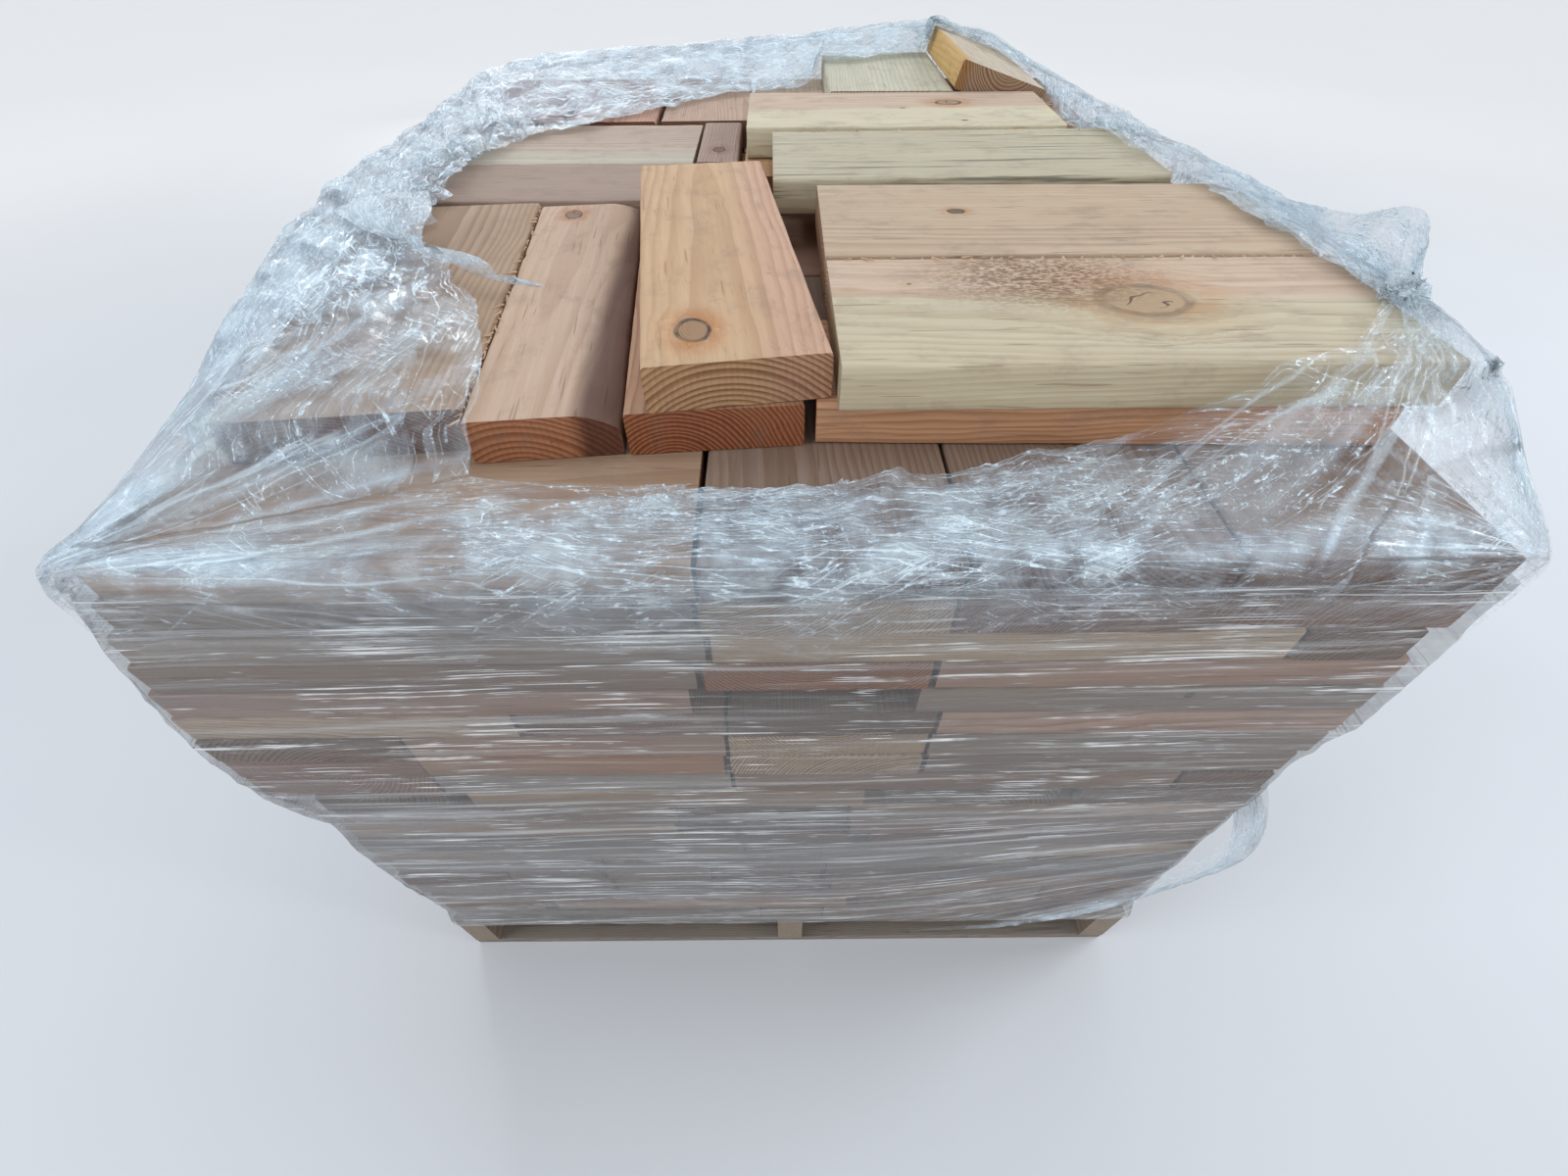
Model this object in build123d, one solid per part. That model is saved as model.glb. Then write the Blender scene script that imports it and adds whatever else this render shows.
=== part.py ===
# Pallet load of short sawn lumber blocks: twenty full courses laid on a notched stringer pallet,
# two loose courses on top, all held by stretch film that is folded in over the top edge.
# Millimetres. +Z is up, +X runs along the deck boards, +Y along the stringers, away from the
# front face. The origin is the centre of the footprint, on the ground.
from build123d import *
from math import sin
import os

os.makedirs("parts", exist_ok=True)

# Pallet
pallet_width = 1016.0
pallet_length = 1219.0
stringer_width = 38.0
stringer_height = 89.0
board_thickness = 16.0
lead_board_width = 140.0
inner_board_width = 89.0
inner_top_boards = 5
bottom_board_offsets = (-165.0, 0.0, 165.0)
notch_length = 229.0
notch_depth = 38.0
notch_from_end = 152.0
notch_corner_radius = 12.0
pallet_edge_ease = 1.5

# Sawn blocks
plank_thickness = 38.0
wide_plank = 188.0
medium_plank = 140.0
slim_plank = 118.0
narrow_plank = 89.0
long_cut = 457.0
short_cut = 297.0
plank_edge_ease = 2.0
block_gap = 2.0

# Stack
course_count = 20
deck_top = 2 * board_thickness + stringer_height
course_gap = 0.02
front_face = -pallet_length / 2
front_band_depth = 459.0
back_band_depth = pallet_length - 2 * front_band_depth

# Stretch film
film_thickness = 1.5
film_hem_height = deck_top + 3.0
film_half_length = 616.0
film_reach = 560.0
fold_base_height = 866.0
fold_left = -500.5
fold_right = 507.5
fold_half_length = 617.0


def course_floor(course):
    """Height of the underside of a course, counted from 1."""
    return deck_top + (course - 1) * plank_thickness


def sawn_block(width, length, thickness=plank_thickness):
    """A block with its grain along Y, its front left bottom corner at the origin, edges eased."""
    outline = Rectangle(width, thickness - course_gap, align=(Align.MIN, Align.MIN))
    section = chamfer(outline.vertices(), plank_edge_ease)
    return extrude(Plane.XZ * section, -length)


def turned_block(width, length):
    """The same block with its grain along X."""
    return Pos(0, width, 0) * Rot(0, 0, -90) * sawn_block(width, length)


def end_play(course, index):
    """Hand stacking leaves the ends of the blocks a few millimetres out of line."""
    return 2.0 + 2.0 * sin(2.1 * course + 1.7 * index)


# Each band of a course is a list of bays from left to right. A bay is either one block that runs
# across the band ("across", its width) or a stack of blocks side by side along it ("along", length).
side_by_side = {
    front_band_depth: ((wide_plank, medium_plank, slim_plank), (medium_plank, wide_plank, slim_plank)),
    back_band_depth: ((wide_plank, narrow_plank), (medium_plank, medium_plank)),
}

front_bays = {
    20: [("along", 420), ("across", wide_plank), ("across", wide_plank), ("across", wide_plank)],
    19: [("along", 432), ("across", wide_plank), ("across", wide_plank), ("across", wide_plank)],
    18: [("along", long_cut), ("along", long_cut), ("across", narrow_plank)],
    17: [("along", long_cut), ("across", wide_plank), ("along", 380)],
    16: [("along", long_cut), ("across", wide_plank), ("along", 394)],
    15: [("along", 300), ("across", wide_plank), ("across", wide_plank), ("along", 370)],
    14: [("across", wide_plank), ("along", 300), ("across", wide_plank), ("along", 370)],
    13: [("across", wide_plank), ("along", 300), ("across", wide_plank), ("along", 362)],
    12: [("across", wide_plank), ("along", 300), ("along", long_cut), ("across", narrow_plank)],
    10: [("across", wide_plank), ("across", wide_plank), ("across", wide_plank), ("along", 430)],
    9: [("along", 376), ("across", wide_plank), ("along", 430)],
    6: [("along", 270), ("across", medium_plank), ("across", medium_plank), ("along", 450)],
    5: [("across", medium_plank), ("across", slim_plank), ("across", medium_plank),
        ("across", medium_plank), ("along", 450)],
    4: [("along", 268), ("across", medium_plank), ("across", medium_plank), ("along", 440)],
}
plain_front_bays = (
    [("across", wide_plank), ("across", wide_plank), ("along", long_cut), ("across", medium_plank)],
    [("along", long_cut), ("across", narrow_plank), ("along", long_cut)],
    [("across", medium_plank), ("along", 420), ("across", wide_plank), ("across", wide_plank)],
)
middle_bays = (
    [("across", wide_plank)] * 5,
    [("along", long_cut), ("across", narrow_plank), ("along", 440)],
    [("across", medium_plank), ("across", wide_plank), ("along", long_cut), ("across", wide_plank)],
)
back_bays = (
    [("across", wide_plank)] * 4 + [("across", medium_plank)],
    [("along", long_cut), ("along", long_cut)],
    [("across", medium_plank), ("along", long_cut), ("across", wide_plank), ("across", medium_plank)],
)

# Left and right limits of each course, from the ground up: the middle of the stack leans out to
# the left, and the top courses step back in.
course_left = (-486, -495, -500, -508, -512, -508, -514, -511, -509, -505,
               -503, -553, -555, -553, -551, -545, -535, -526, -505, -490)
course_right = (490, 494, 497, 496, 494, 496, 495, 493, 496, 494,
                497, 490, 492, 500, 502, 502, 498, 486, 500, 501)
set_back_course = 16
set_back_bay = 1
set_back = 34.0


def lay_band(course, bays, front, depth, cut):
    """The blocks of one band: bays from left to right, the spare width shared between them."""
    left = course_left[course - 1]
    right = course_right[course - 1]
    spare = (right - left) - sum(size for _, size in bays)
    gap = max(block_gap, spare / (len(bays) - 1))
    trim = max(0.0, gap * (len(bays) - 1) - spare) / max(1, sum(kind == "along" for kind, _ in bays))
    height = course_floor(course)
    blocks = []
    x = left
    for index, (kind, size) in enumerate(bays):
        play = end_play(course, index)
        if kind == "across":
            if course == set_back_course and index == set_back_bay and front == front_face:
                play = set_back
            length = min(cut, depth - play)
            blocks.append(Pos(x, front + play, height) * sawn_block(size, length))
        else:
            size -= trim
            widths = side_by_side[depth][(course + index) % 2]
            step = (depth - sum(widths)) / len(widths)
            y = front + step / 2
            for width in widths:
                blocks.append(Pos(x, y, height) * turned_block(width, size))
                y += width + step
        x += size + gap
    return blocks


def lay_course(course):
    """One full course: a front, a middle and a back band."""
    middle_front = front_face + front_band_depth
    back_front = middle_front + front_band_depth
    front = front_bays.get(course, plain_front_bays[course % 3])
    blocks = lay_band(course, front, front_face, front_band_depth, long_cut - 1.0)
    blocks += lay_band(course, middle_bays[course % 3], middle_front, front_band_depth, 452.0)
    blocks += lay_band(course, back_bays[(course + 1) % 3], back_front, back_band_depth, short_cut)
    return blocks


# The two top courses are loose blocks, laid askew. Each row gives the front left corner, the turn
# in degrees anticlockwise seen from above, the direction of the grain, the width and the length.
loose_blocks = {
    21: [
        (-441, -494, 5.6, "across", wide_plank, 448),
        (-250, -494, 5.4, "across", slim_plank, 455),
        (-129, -485, 5.3, "across", medium_plank, 440),
        (17, -471, -1.2, "along", medium_plank, 455),
        (-489, -24, 0.0, "along", medium_plank, 428),
        (-489, 119, 0.0, "along", wide_plank, 364),
        (-122, 122, 0.5, "across", 58, 195),
        (-56, 62, 0.0, "across", medium_plank, 250),
        (38, -325, 0.0, "across", wide_plank, 380),
        (230, -325, 0.0, "across", wide_plank, 455),
        (422, -325, 0.0, "across", 72, 455),
        (88, 62, 0.0, "across", medium_plank, 250),
        (230, 135, 0.0, "along", wide_plank, 262),
        (-492, 325, 0.0, "across", medium_plank, 283),
        (-342, 322, 1.2, "across", medium_plank, 286),
        (-194, 326, 1.0, "across", medium_plank, 281),
        (-50, 330, 0.0, "across", medium_plank, 278),
        (93, 328, 0.0, "across", wide_plank, 280),
        (284, 330, 0.0, "across", wide_plank, 278),
    ],
    22: [
        (-110, -484, 7.7, "across", 143, 460),
        (34, -484, 0.2, "along", 190, long_cut),
        (31, -286, -0.3, "along", 192, long_cut),
        (-16, -78, 1.2, "along", 190, 455),
        (-52, 132, 0.5, "along", 186, 432),
        (70, 324, 0.0, "across", 190, 286),
    ],
}
leaning_block_corner = (257.5, 327.0, 958.7)
leaning_block_turn = 16.4
leaning_block_size = (medium_plank, 282.0)


def loose_block(course, x, y, turn, kind, width, length):
    """One block of a top course, turned about its front left corner."""
    shape = sawn_block(width, length) if kind == "across" else turned_block(width, length)
    return Pos(x, y, course_floor(course)) * Rot(0, 0, turn) * shape


def leaning_block():
    """A block that lies on the right edge of its neighbour and slopes down to the course below."""
    x, y, z = leaning_block_corner
    return Pos(x, y, z) * Rot(0, leaning_block_turn, 0) * sawn_block(*leaning_block_size)


def eased_board(size_x, size_y, thickness):
    """A pallet board centred on the origin, its long edges eased."""
    outline = chamfer(Rectangle(size_y, thickness).vertices(), pallet_edge_ease)
    return extrude(Plane.YZ * outline, size_x / 2, both=True)


def stringer():
    """A stringer with two fork notches in its lower edge, their upper corners rounded."""
    bar = extrude(Plane.YZ * Rectangle(pallet_length, stringer_height), stringer_width / 2, both=True)
    middle = pallet_length / 2 - notch_from_end - notch_length / 2
    cut_height = 2 * notch_depth
    for y in (-middle, middle):
        opening = fillet(Rectangle(notch_length, cut_height).vertices(), notch_corner_radius)
        cut = Pos(0, y, -stringer_height / 2) * extrude(Plane.YZ * opening, stringer_width, both=True)
        bar = bar - cut
    return Pos(0, 0, board_thickness + stringer_height / 2) * bar


def stringers():
    """Three stringers: one at each side and one in the middle."""
    outer = (pallet_width - stringer_width) / 2
    return [Pos(x, 0, 0) * stringer() for x in (-outer, 0, outer)]


def top_deck():
    """Lead boards at both ends and evenly spaced narrower boards between them."""
    height = board_thickness * 1.5 + stringer_height
    lead = (pallet_length - lead_board_width) / 2
    boards = [Pos(0, y, height) * eased_board(pallet_width, lead_board_width, board_thickness)
              for y in (-lead, lead)]
    clear = pallet_length - 2 * lead_board_width
    pitch = clear / inner_top_boards
    first = -clear / 2 + pitch / 2
    for index in range(inner_top_boards):
        board = eased_board(pallet_width, inner_board_width, board_thickness)
        boards.append(Pos(0, first + index * pitch, height) * board)
    return boards


def bottom_deck():
    """Lead boards at both ends and three narrower boards between the notches."""
    height = board_thickness / 2
    lead = (pallet_length - lead_board_width) / 2
    boards = [Pos(0, y, height) * eased_board(pallet_width, lead_board_width, board_thickness)
              for y in (-lead, lead)]
    for y in bottom_board_offsets:
        boards.append(Pos(0, y, height) * eased_board(pallet_width, inner_board_width, board_thickness))
    return boards


# Film sleeve: height, left and right of its outer surface, from the hem up. It is pulled flat
# over the stack, out over the leaning middle and in again above and below it. The last number is
# how far the loose end stands off the front right corner.
sleeve_levels = (
    (film_hem_height, -499, 498, 0), (235, -514, 503, 0), (349, -520, 506, 22),
    (425, -517, 503, film_reach - 503), (500, -516, 504, 42), (540, -557, 505, 24),
    (653, -film_reach, 507, 0), (729, -550, 513, 0), (805, -531, 510, 0),
    (fold_base_height, -501, 507.5, 0),
)


# Fold over the top edge. A station gives its place on the outer edge, the way in, the height of
# the edge, and two points of the fold: how far in, and how high.
fold_front = [
    (-300, 884, (100, 887), (122, 925)),
    (-236, 884, (76, 885), (94, 887)),
    (-45, 884, (60, 884.5), (88, 885)),
    (145, 884, (60, 884.5), (90, 886)),
    (274, 886, (72, 888), (112, 903)),
    (345, 888, (80, 892), (122, 935)),
]
fold_right_side = [
    (-492, 950, (14, 961), (38, 963)),
    (-352, 966, (14, 968), (36, 963)),
    (-329, 1004, (9, 990), (30, 966)),
    (-306, 964, (14, 968), (34, 963)),
    (-235, 961, (14, 964), (34, 962)),
    (-75, 958, (12, 962), (32, 963)),
    (87, 940, (24, 944), (52, 934)),
    (300, 935, (40, 938), (75, 928)),
    (476, 928, (60, 930), (108, 924)),
]
fold_back = [
    (410, 960, (20, 962), (50, 962)),
    (349, 991, (14, 992), (50, 988)),
    (262, 999, (12, 1000), (34, 1000)),
    (124, 986, (12, 984), (26, 968)),
    (0, 978, (12, 972), (26, 950)),
    (-104, 969, (16, 960), (34, 930)),
    (-204, 965, (24, 955), (98, 926)),
    (-350, 961, (24, 955), (80, 926)),
]
fold_left_side = [
    (447, 952, (40, 950), (140, 927)),
    (212, 951, (36, 945), (86, 927)),
    (-19, 955, (40, 950), (98, 927)),
    (-195, 948, (40, 950), (150, 926)),
    (-336, 921, (56, 925), (222, 925)),
    (-450, 892, (53, 923), (231, 925)),
    (-500, 888, (53, 922), (128, 926)),
]
corner_front_left = (886, (55, 888), (124, 926))
corner_front_right = (892, (72, 906), (121, 961))
corner_back_right = (925, (40, 930), (80, 930))
corner_back_left = (948, (30, 946), (60, 932))


def film_loop():
    """Every station of the fold in turn, once round the load from the front left corner."""
    left, right, end = fold_left, fold_right, fold_half_length
    return [
        (left, -end, 1, 1, *corner_front_left),
        *[(x, -end, 0, 1, *rest) for x, *rest in fold_front],
        (right, -end, -1, 1, *corner_front_right),
        *[(right, y, -1, 0, *rest) for y, *rest in fold_right_side],
        (right, end, -1, -1, *corner_back_right),
        *[(x, end, 0, -1, *rest) for x, *rest in fold_back],
        (left, end, 1, -1, *corner_back_left),
        *[(left, y, 1, 0, *rest) for y, *rest in fold_left_side],
    ]


def film_column(station, inset):
    """The points of one station from the hem up to the inner edge, on the outer or inner face."""
    x, y, way_x, way_y, top, middle, tip = station
    points = []
    for height, left, right, loose in sleeve_levels:
        across = {1: left, -1: right, 0: x}[way_x]
        along = -way_y * film_half_length if way_y else y
        if (way_x, way_y) == (-1, 1):
            across += loose
        points.append((across + inset * way_x, along + inset * way_y, height))
    for reach, height in ((inset, top - inset), (middle[0], middle[1] - inset), (tip[0], tip[1] - inset)):
        points.append((x + reach * way_x, y + reach * way_y, height))
    return points


def triangle(a, b, c):
    return Face(Wire.make_polygon([Vector(*p) for p in (a, b, c)], close=True))


def two_triangles(a, b, c, d):
    return [triangle(a, b, c), triangle(a, c, d)]


def stretch_film():
    """The whole film as one skin: its wound sides, its folded top edge and its loose end."""
    stations = film_loop()
    outer = [film_column(station, 0) for station in stations]
    inner = [film_column(station, film_thickness) for station in stations]
    rows = len(outer[0])
    faces = []
    for here in range(len(stations)):
        ahead = (here + 1) % len(stations)
        for row in range(rows - 1):
            faces += two_triangles(outer[here][row], outer[ahead][row],
                                   outer[ahead][row + 1], outer[here][row + 1])
            faces += two_triangles(inner[here][row], inner[here][row + 1],
                                   inner[ahead][row + 1], inner[ahead][row])
        faces += two_triangles(outer[here][0], inner[here][0], inner[ahead][0], outer[ahead][0])
        faces += two_triangles(outer[here][-1], outer[ahead][-1], inner[ahead][-1], inner[here][-1])
    return Solid(Shell(faces))


def write_node(name, shapes):
    """One STEP file for one named node."""
    shapes = shapes if isinstance(shapes, list) else [shapes]
    solids = [solid for shape in shapes for solid in shape.solids()]
    body = solids[0] if len(solids) == 1 else Compound(children=solids)
    body.label = name
    export_step(body, f"parts/{name}.step")


write_node("stringers", stringers())
write_node("bottom_deck", bottom_deck())
write_node("top_deck", top_deck())
for course in range(1, course_count + 1):
    write_node(f"course_{course:02d}", lay_course(course))
for course, rows in loose_blocks.items():
    for number, row in enumerate(rows, start=1):
        write_node(f"loose_block_{course}_{number:02d}", loose_block(course, *row))
write_node("leaning_block", leaning_block())
write_node("stretch_film", stretch_film())
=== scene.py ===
import bpy
import math
import random
import numpy as np
from mathutils import Matrix, Vector


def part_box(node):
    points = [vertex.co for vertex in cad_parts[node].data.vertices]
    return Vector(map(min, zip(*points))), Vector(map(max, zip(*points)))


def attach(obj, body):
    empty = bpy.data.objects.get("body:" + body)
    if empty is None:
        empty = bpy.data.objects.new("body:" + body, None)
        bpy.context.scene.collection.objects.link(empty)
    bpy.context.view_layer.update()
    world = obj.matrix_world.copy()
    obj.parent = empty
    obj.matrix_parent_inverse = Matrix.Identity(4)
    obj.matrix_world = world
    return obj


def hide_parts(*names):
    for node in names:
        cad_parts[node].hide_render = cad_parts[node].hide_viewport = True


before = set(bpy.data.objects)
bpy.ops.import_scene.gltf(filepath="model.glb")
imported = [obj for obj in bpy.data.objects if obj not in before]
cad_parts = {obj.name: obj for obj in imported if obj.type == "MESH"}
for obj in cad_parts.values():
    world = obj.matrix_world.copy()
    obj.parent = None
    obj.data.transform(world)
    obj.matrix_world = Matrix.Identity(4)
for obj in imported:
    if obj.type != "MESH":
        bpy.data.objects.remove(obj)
bpy.context.scene.view_settings.view_transform = "Standard"
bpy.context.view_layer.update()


# Small helpers for building node trees: each finds its tree from the sockets that it is given

def addNode(tree, kind, values=None, **settings):
    node = tree.nodes.new(kind)
    for name, value in settings.items():
        setattr(node, name, value)
    for socket, value in (values or {}).items():
        if isinstance(value, bpy.types.NodeSocket):
            tree.links.new(value, node.inputs[socket])
        else:
            node.inputs[socket].default_value = value
    return node


def treeOf(*values):
    return next(value.id_data for value in values if isinstance(value, bpy.types.NodeSocket))


def calc(operation, *values, clamp=False):
    settings = {"operation": operation, "use_clamp": clamp}
    return addNode(treeOf(*values), "ShaderNodeMath", dict(enumerate(values)), **settings).outputs[0]


def combine(operation, values):
    result = values[0]
    for value in values[1:]:
        result = calc(operation, result, value)
    return result


def plus(*values):
    return combine("ADD", values)


def times(*values):
    return combine("MULTIPLY", values)


def largest(*values):
    return combine("MAXIMUM", values)


def minus(a, b):
    return calc("SUBTRACT", a, b)


def vectorCalc(operation, *values, out=0):
    node = addNode(treeOf(*values), "ShaderNodeVectorMath", dict(enumerate(values)), operation=operation)
    return node.outputs[out]


def parts(vector):
    return addNode(vector.id_data, "ShaderNodeSeparateXYZ", {0: vector}).outputs


def joined(x, y=0.0, z=0.0):
    return addNode(treeOf(x, y, z), "ShaderNodeCombineXYZ", {0: x, 1: y, 2: z}).outputs[0]


def opaque(colour):
    return (*colour, 1.0) if isinstance(colour, tuple) and len(colour) == 3 else colour


def blendColour(factor, a, b, kind="MIX"):
    values = {0: factor, 6: opaque(a), 7: opaque(b)}
    node = addNode(treeOf(factor, a, b), "ShaderNodeMix", values, data_type="RGBA", blend_type=kind)
    return node.outputs[2]


def dyed(colour, dye):
    return blendColour(1.0, colour, dye, "MULTIPLY")


def tint(factor, colour, dye, base=None):
    return blendColour(factor, colour, dyed(colour if base is None else base, dye))


def ramp(value, low, high, outLow=0.0, outHigh=1.0):
    values = {0: value, 1: low, 2: high, 3: outLow, 4: outHigh}
    return addNode(value.id_data, "ShaderNodeMapRange", values, interpolation_type="SMOOTHSTEP").outputs[0]


def stretchNoise(vector, scale, detail=2.0, roughness=0.5, distortion=0.0):
    values = {"Vector": vectorCalc("MULTIPLY", vector, scale), "Scale": 1.0, "Detail": detail,
              "Roughness": roughness, "Distortion": distortion}
    return addNode(vector.id_data, "ShaderNodeTexNoise", values, noise_dimensions="3D").outputs[0]


def waveBands(vector, scale, distortion, fineScale=1.0):
    values = {"Vector": vector, "Scale": scale, "Distortion": distortion, "Detail": 2.0,
              "Detail Scale": fineScale}
    return addNode(vector.id_data, "ShaderNodeTexWave", values, wave_type="BANDS").outputs[1]


def makeGroup(name, inputs, outputs):
    group = bpy.data.node_groups.new(name, "ShaderNodeTree")
    for label, kind, value in inputs:
        socket = group.interface.new_socket(label, in_out="INPUT", socket_type="NodeSocket" + kind)
        if value is not None:
            socket.default_value = value
    for label, kind in outputs:
        group.interface.new_socket(label, in_out="OUTPUT", socket_type="NodeSocket" + kind)
    return group.nodes.new("NodeGroupInput").outputs, group.nodes.new("NodeGroupOutput").inputs, group


def connect(sockets, values):
    for label, value in values.items():
        value.id_data.links.new(value, sockets[label])


def useGroup(tree, group, values):
    return addNode(tree, "ShaderNodeGroup", values, node_tree=group).outputs


def readers(tree, labels, output):
    return {socket: addNode(tree, "ShaderNodeAttribute", attribute_name=label).outputs[output]
            for socket, label in labels.items()}


def addObject(name, data):
    item = bpy.data.objects.new(name, data)
    bpy.context.scene.collection.objects.link(item)
    return item


def addAttribute(mesh, label, values, isVector):
    layer = mesh.attributes.new(label, "FLOAT_VECTOR" if isVector else "FLOAT", "POINT")
    layer.data.foreach_set("vector" if isVector else "value", values.astype(np.float32).ravel())


def stacked(*layers):
    return np.stack(np.broadcast_arrays(*layers), -1)


def newMaterial(name):
    material = bpy.data.materials.new(name)
    material.use_nodes = True
    tree = material.node_tree
    tree.nodes.clear()
    return material, tree, tree.nodes.new("ShaderNodeOutputMaterial").inputs


# Camera: a phone held just above the front edge, looking steeply down

cameraSetup = {
    "place": (-0.0085, -0.9253, 1.208),
    "pitch": 47.75, "yaw": 0.24, "roll": 0.23,
    "focalPixels": 687.7, "imageWidth": 1600.0, "sensor": 36.0,
}


def makeCamera():
    data = bpy.data.cameras.new("camera")
    data.sensor_width = cameraSetup["sensor"]
    data.lens = cameraSetup["sensor"] * cameraSetup["focalPixels"] / cameraSetup["imageWidth"]
    data.clip_start = 0.01
    camera = addObject("camera", data)
    turn = Matrix.Rotation(math.radians(-cameraSetup["yaw"]), 4, "Z")
    tilt = Matrix.Rotation(math.radians(90.0 - cameraSetup["pitch"]), 4, "X")
    roll = Matrix.Rotation(math.radians(-cameraSetup["roll"]), 4, "Z")
    camera.matrix_world = Matrix.Translation(cameraSetup["place"]) @ turn @ tilt @ roll
    bpy.context.scene.camera = camera


# Studio: a plain pale floor, a soft sky and large lamps

studio = {
    "floorSize": 30.0, "floorColour": (0.72, 0.735, 0.75, 1.0), "skyColour": (0.86, 0.89, 0.93, 1.0),
    "cloudColour": (0.66, 0.675, 0.69), "skyStrength": 0.46, "seenStrength": 0.80,
    "farGlow": 0.62, "glowReach": (1.6, 6.0),
    "cool": (0.93, 1.0, 1.12), "plain": (1.0, 1.0, 1.0),
    # name, place, what it looks at, size, power, colour
    "lamps": [
        ("overhead", (0.0, 0.9, 4.2), (0.0, 0.0, 0.6), 3.4, 36.0, "cool"),
        ("leftWindow", (-3.6, -1.6, 2.6), (0.0, 0.0, 0.6), 1.8, 58.0, "cool"),
        ("rightWindow", (3.4, 0.6, 2.8), (0.0, 0.0, 0.7), 1.6, 50.0, "cool"),
        ("frontFill", (0.6, -4.2, 1.5), (0.0, 0.0, 0.5), 2.6, 38.0, "plain"),
        ("backFill", (-0.8, 4.4, 1.6), (0.0, 0.0, 0.5), 2.6, 30.0, "plain"),
        ("sparkLeft", (-1.6, 1.8, 2.6), (0.0, 0.0, 0.8), 0.30, 9.0, "plain"),
        ("sparkRight", (2.2, -1.2, 2.4), (0.0, 0.0, 0.8), 0.30, 9.0, "plain"),
    ],
}


def makeStudio():
    size = studio["floorSize"] / 2
    mesh = bpy.data.meshes.new("floor")
    corners = [(-size, -size, 0), (size, -size, 0), (size, size, 0), (-size, size, 0)]
    mesh.from_pydata(corners, [], [(0, 1, 2, 3)])
    floor = addObject("floor", mesh)
    material, tree, out = newMaterial("paleFloor")
    position = addNode(tree, "ShaderNodeTexCoord").outputs["Object"]
    cloud = stretchNoise(position, (1.3, 1.3, 1.3), 4.0)
    colour = blendColour(ramp(cloud, 0.35, 0.7, 0.0, 0.25), studio["floorColour"], studio["cloudColour"])
    far = vectorCalc("LENGTH", position, out="Value")
    seen = addNode(tree, "ShaderNodeLightPath").outputs["Is Camera Ray"]
    glow = times(ramp(far, *studio["glowReach"], 0.0, studio["farGlow"]), seen)
    shader = addNode(tree, "ShaderNodeBsdfPrincipled", {
        "Base Color": colour, "Roughness": 0.75, "Emission Color": studio["floorColour"],
        "Emission Strength": glow})
    tree.links.new(shader.outputs[0], out[0])
    mesh.materials.append(material)
    world = bpy.data.worlds.new("sky")
    bpy.context.scene.world = world
    world.use_nodes = True
    background = world.node_tree.nodes["Background"]
    background.inputs[0].default_value = studio["skyColour"]
    rays = addNode(world.node_tree, "ShaderNodeLightPath").outputs
    seen = largest(rays["Is Camera Ray"], rays["Is Glossy Ray"], rays["Is Transmission Ray"])
    strength = ramp(seen, 0.0, 1.0, studio["skyStrength"], studio["seenStrength"])
    world.node_tree.links.new(strength, background.inputs[1])
    for name, place, target, width, power, colour in studio["lamps"]:
        data = bpy.data.lights.new(name, "AREA")
        data.shape = "SQUARE"
        data.size = width
        data.energy = power
        data.color = studio[colour]
        lamp = addObject(name, data)
        lamp.location = place
        lamp.rotation_euler = (Vector(target) - Vector(place)).to_track_quat("-Z", "Y").to_euler()


# Where each block of a node lies, read from the frame

def readBlocks(node):
    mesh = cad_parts[node].data
    points = np.array([v.co for v in mesh.vertices], float)
    keys = {}
    merged = np.array([keys.setdefault(tuple(np.round(p, 5)), len(keys)) for p in points])
    unique = np.array(list(keys), float)
    parent = list(range(len(unique)))

    def root(i):
        while parent[i] != i:
            parent[i] = parent[parent[i]]
            i = parent[i]
        return i

    for polygon in mesh.polygons:
        corners = [root(merged[i]) for i in polygon.vertices]
        for corner in corners[1:]:
            parent[root(corner)] = root(corners[0])
    islands = {}
    for i in range(len(unique)):
        islands.setdefault(root(i), []).append(i)
    blocks = [orientBlock(unique[members]) for members in islands.values()]
    return sorted(blocks, key=lambda b: (round(b["centre"][1], 2), b["centre"][0]))


def orientBlock(points):
    middle = points.mean(0)
    _, axes = np.linalg.eigh(np.cov((points - middle).T))
    grain, across, up = axes[:, 2], axes[:, 1], axes[:, 0]
    up = up * np.sign(up[2])
    grain = grain * (1.0 if grain[np.abs(grain).argmax()] > 0 else -1.0)
    across = np.cross(up, grain)
    frameAxes = np.stack([across, up, grain], 1)
    local = (points - middle) @ frameAxes
    low, high = local.min(0), local.max(0)
    return {"centre": middle + frameAxes @ ((low + high) / 2), "half": (high - low) / 2, "axes": frameAxes}


# A sawn block: a swept section with worn edges, its ends a little out of square

blockShape = {
    "ease": 0.0025, "inset": 0.00025, "edgeNoise": 0.0005, "endSkew": 0.0012, "wornBand": 0.006,
    # steps across a face and rings along the block, for loose blocks and for the others
    "fineGrid": (12, 36), "plainGrid": (3, 5), "sharpAngle": 50,
}


def smoothNoise(points, scale, seed):
    rng = np.random.default_rng(seed)
    total = np.zeros(len(points))
    for octave in range(5):
        direction = rng.normal(size=3)
        direction /= np.linalg.norm(direction)
        wave = points @ direction * scale * (1.0 + 0.7 * octave) + rng.uniform(0, 6.3)
        total += np.sin(wave) / (1 + octave)
    return total / 1.8


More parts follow.
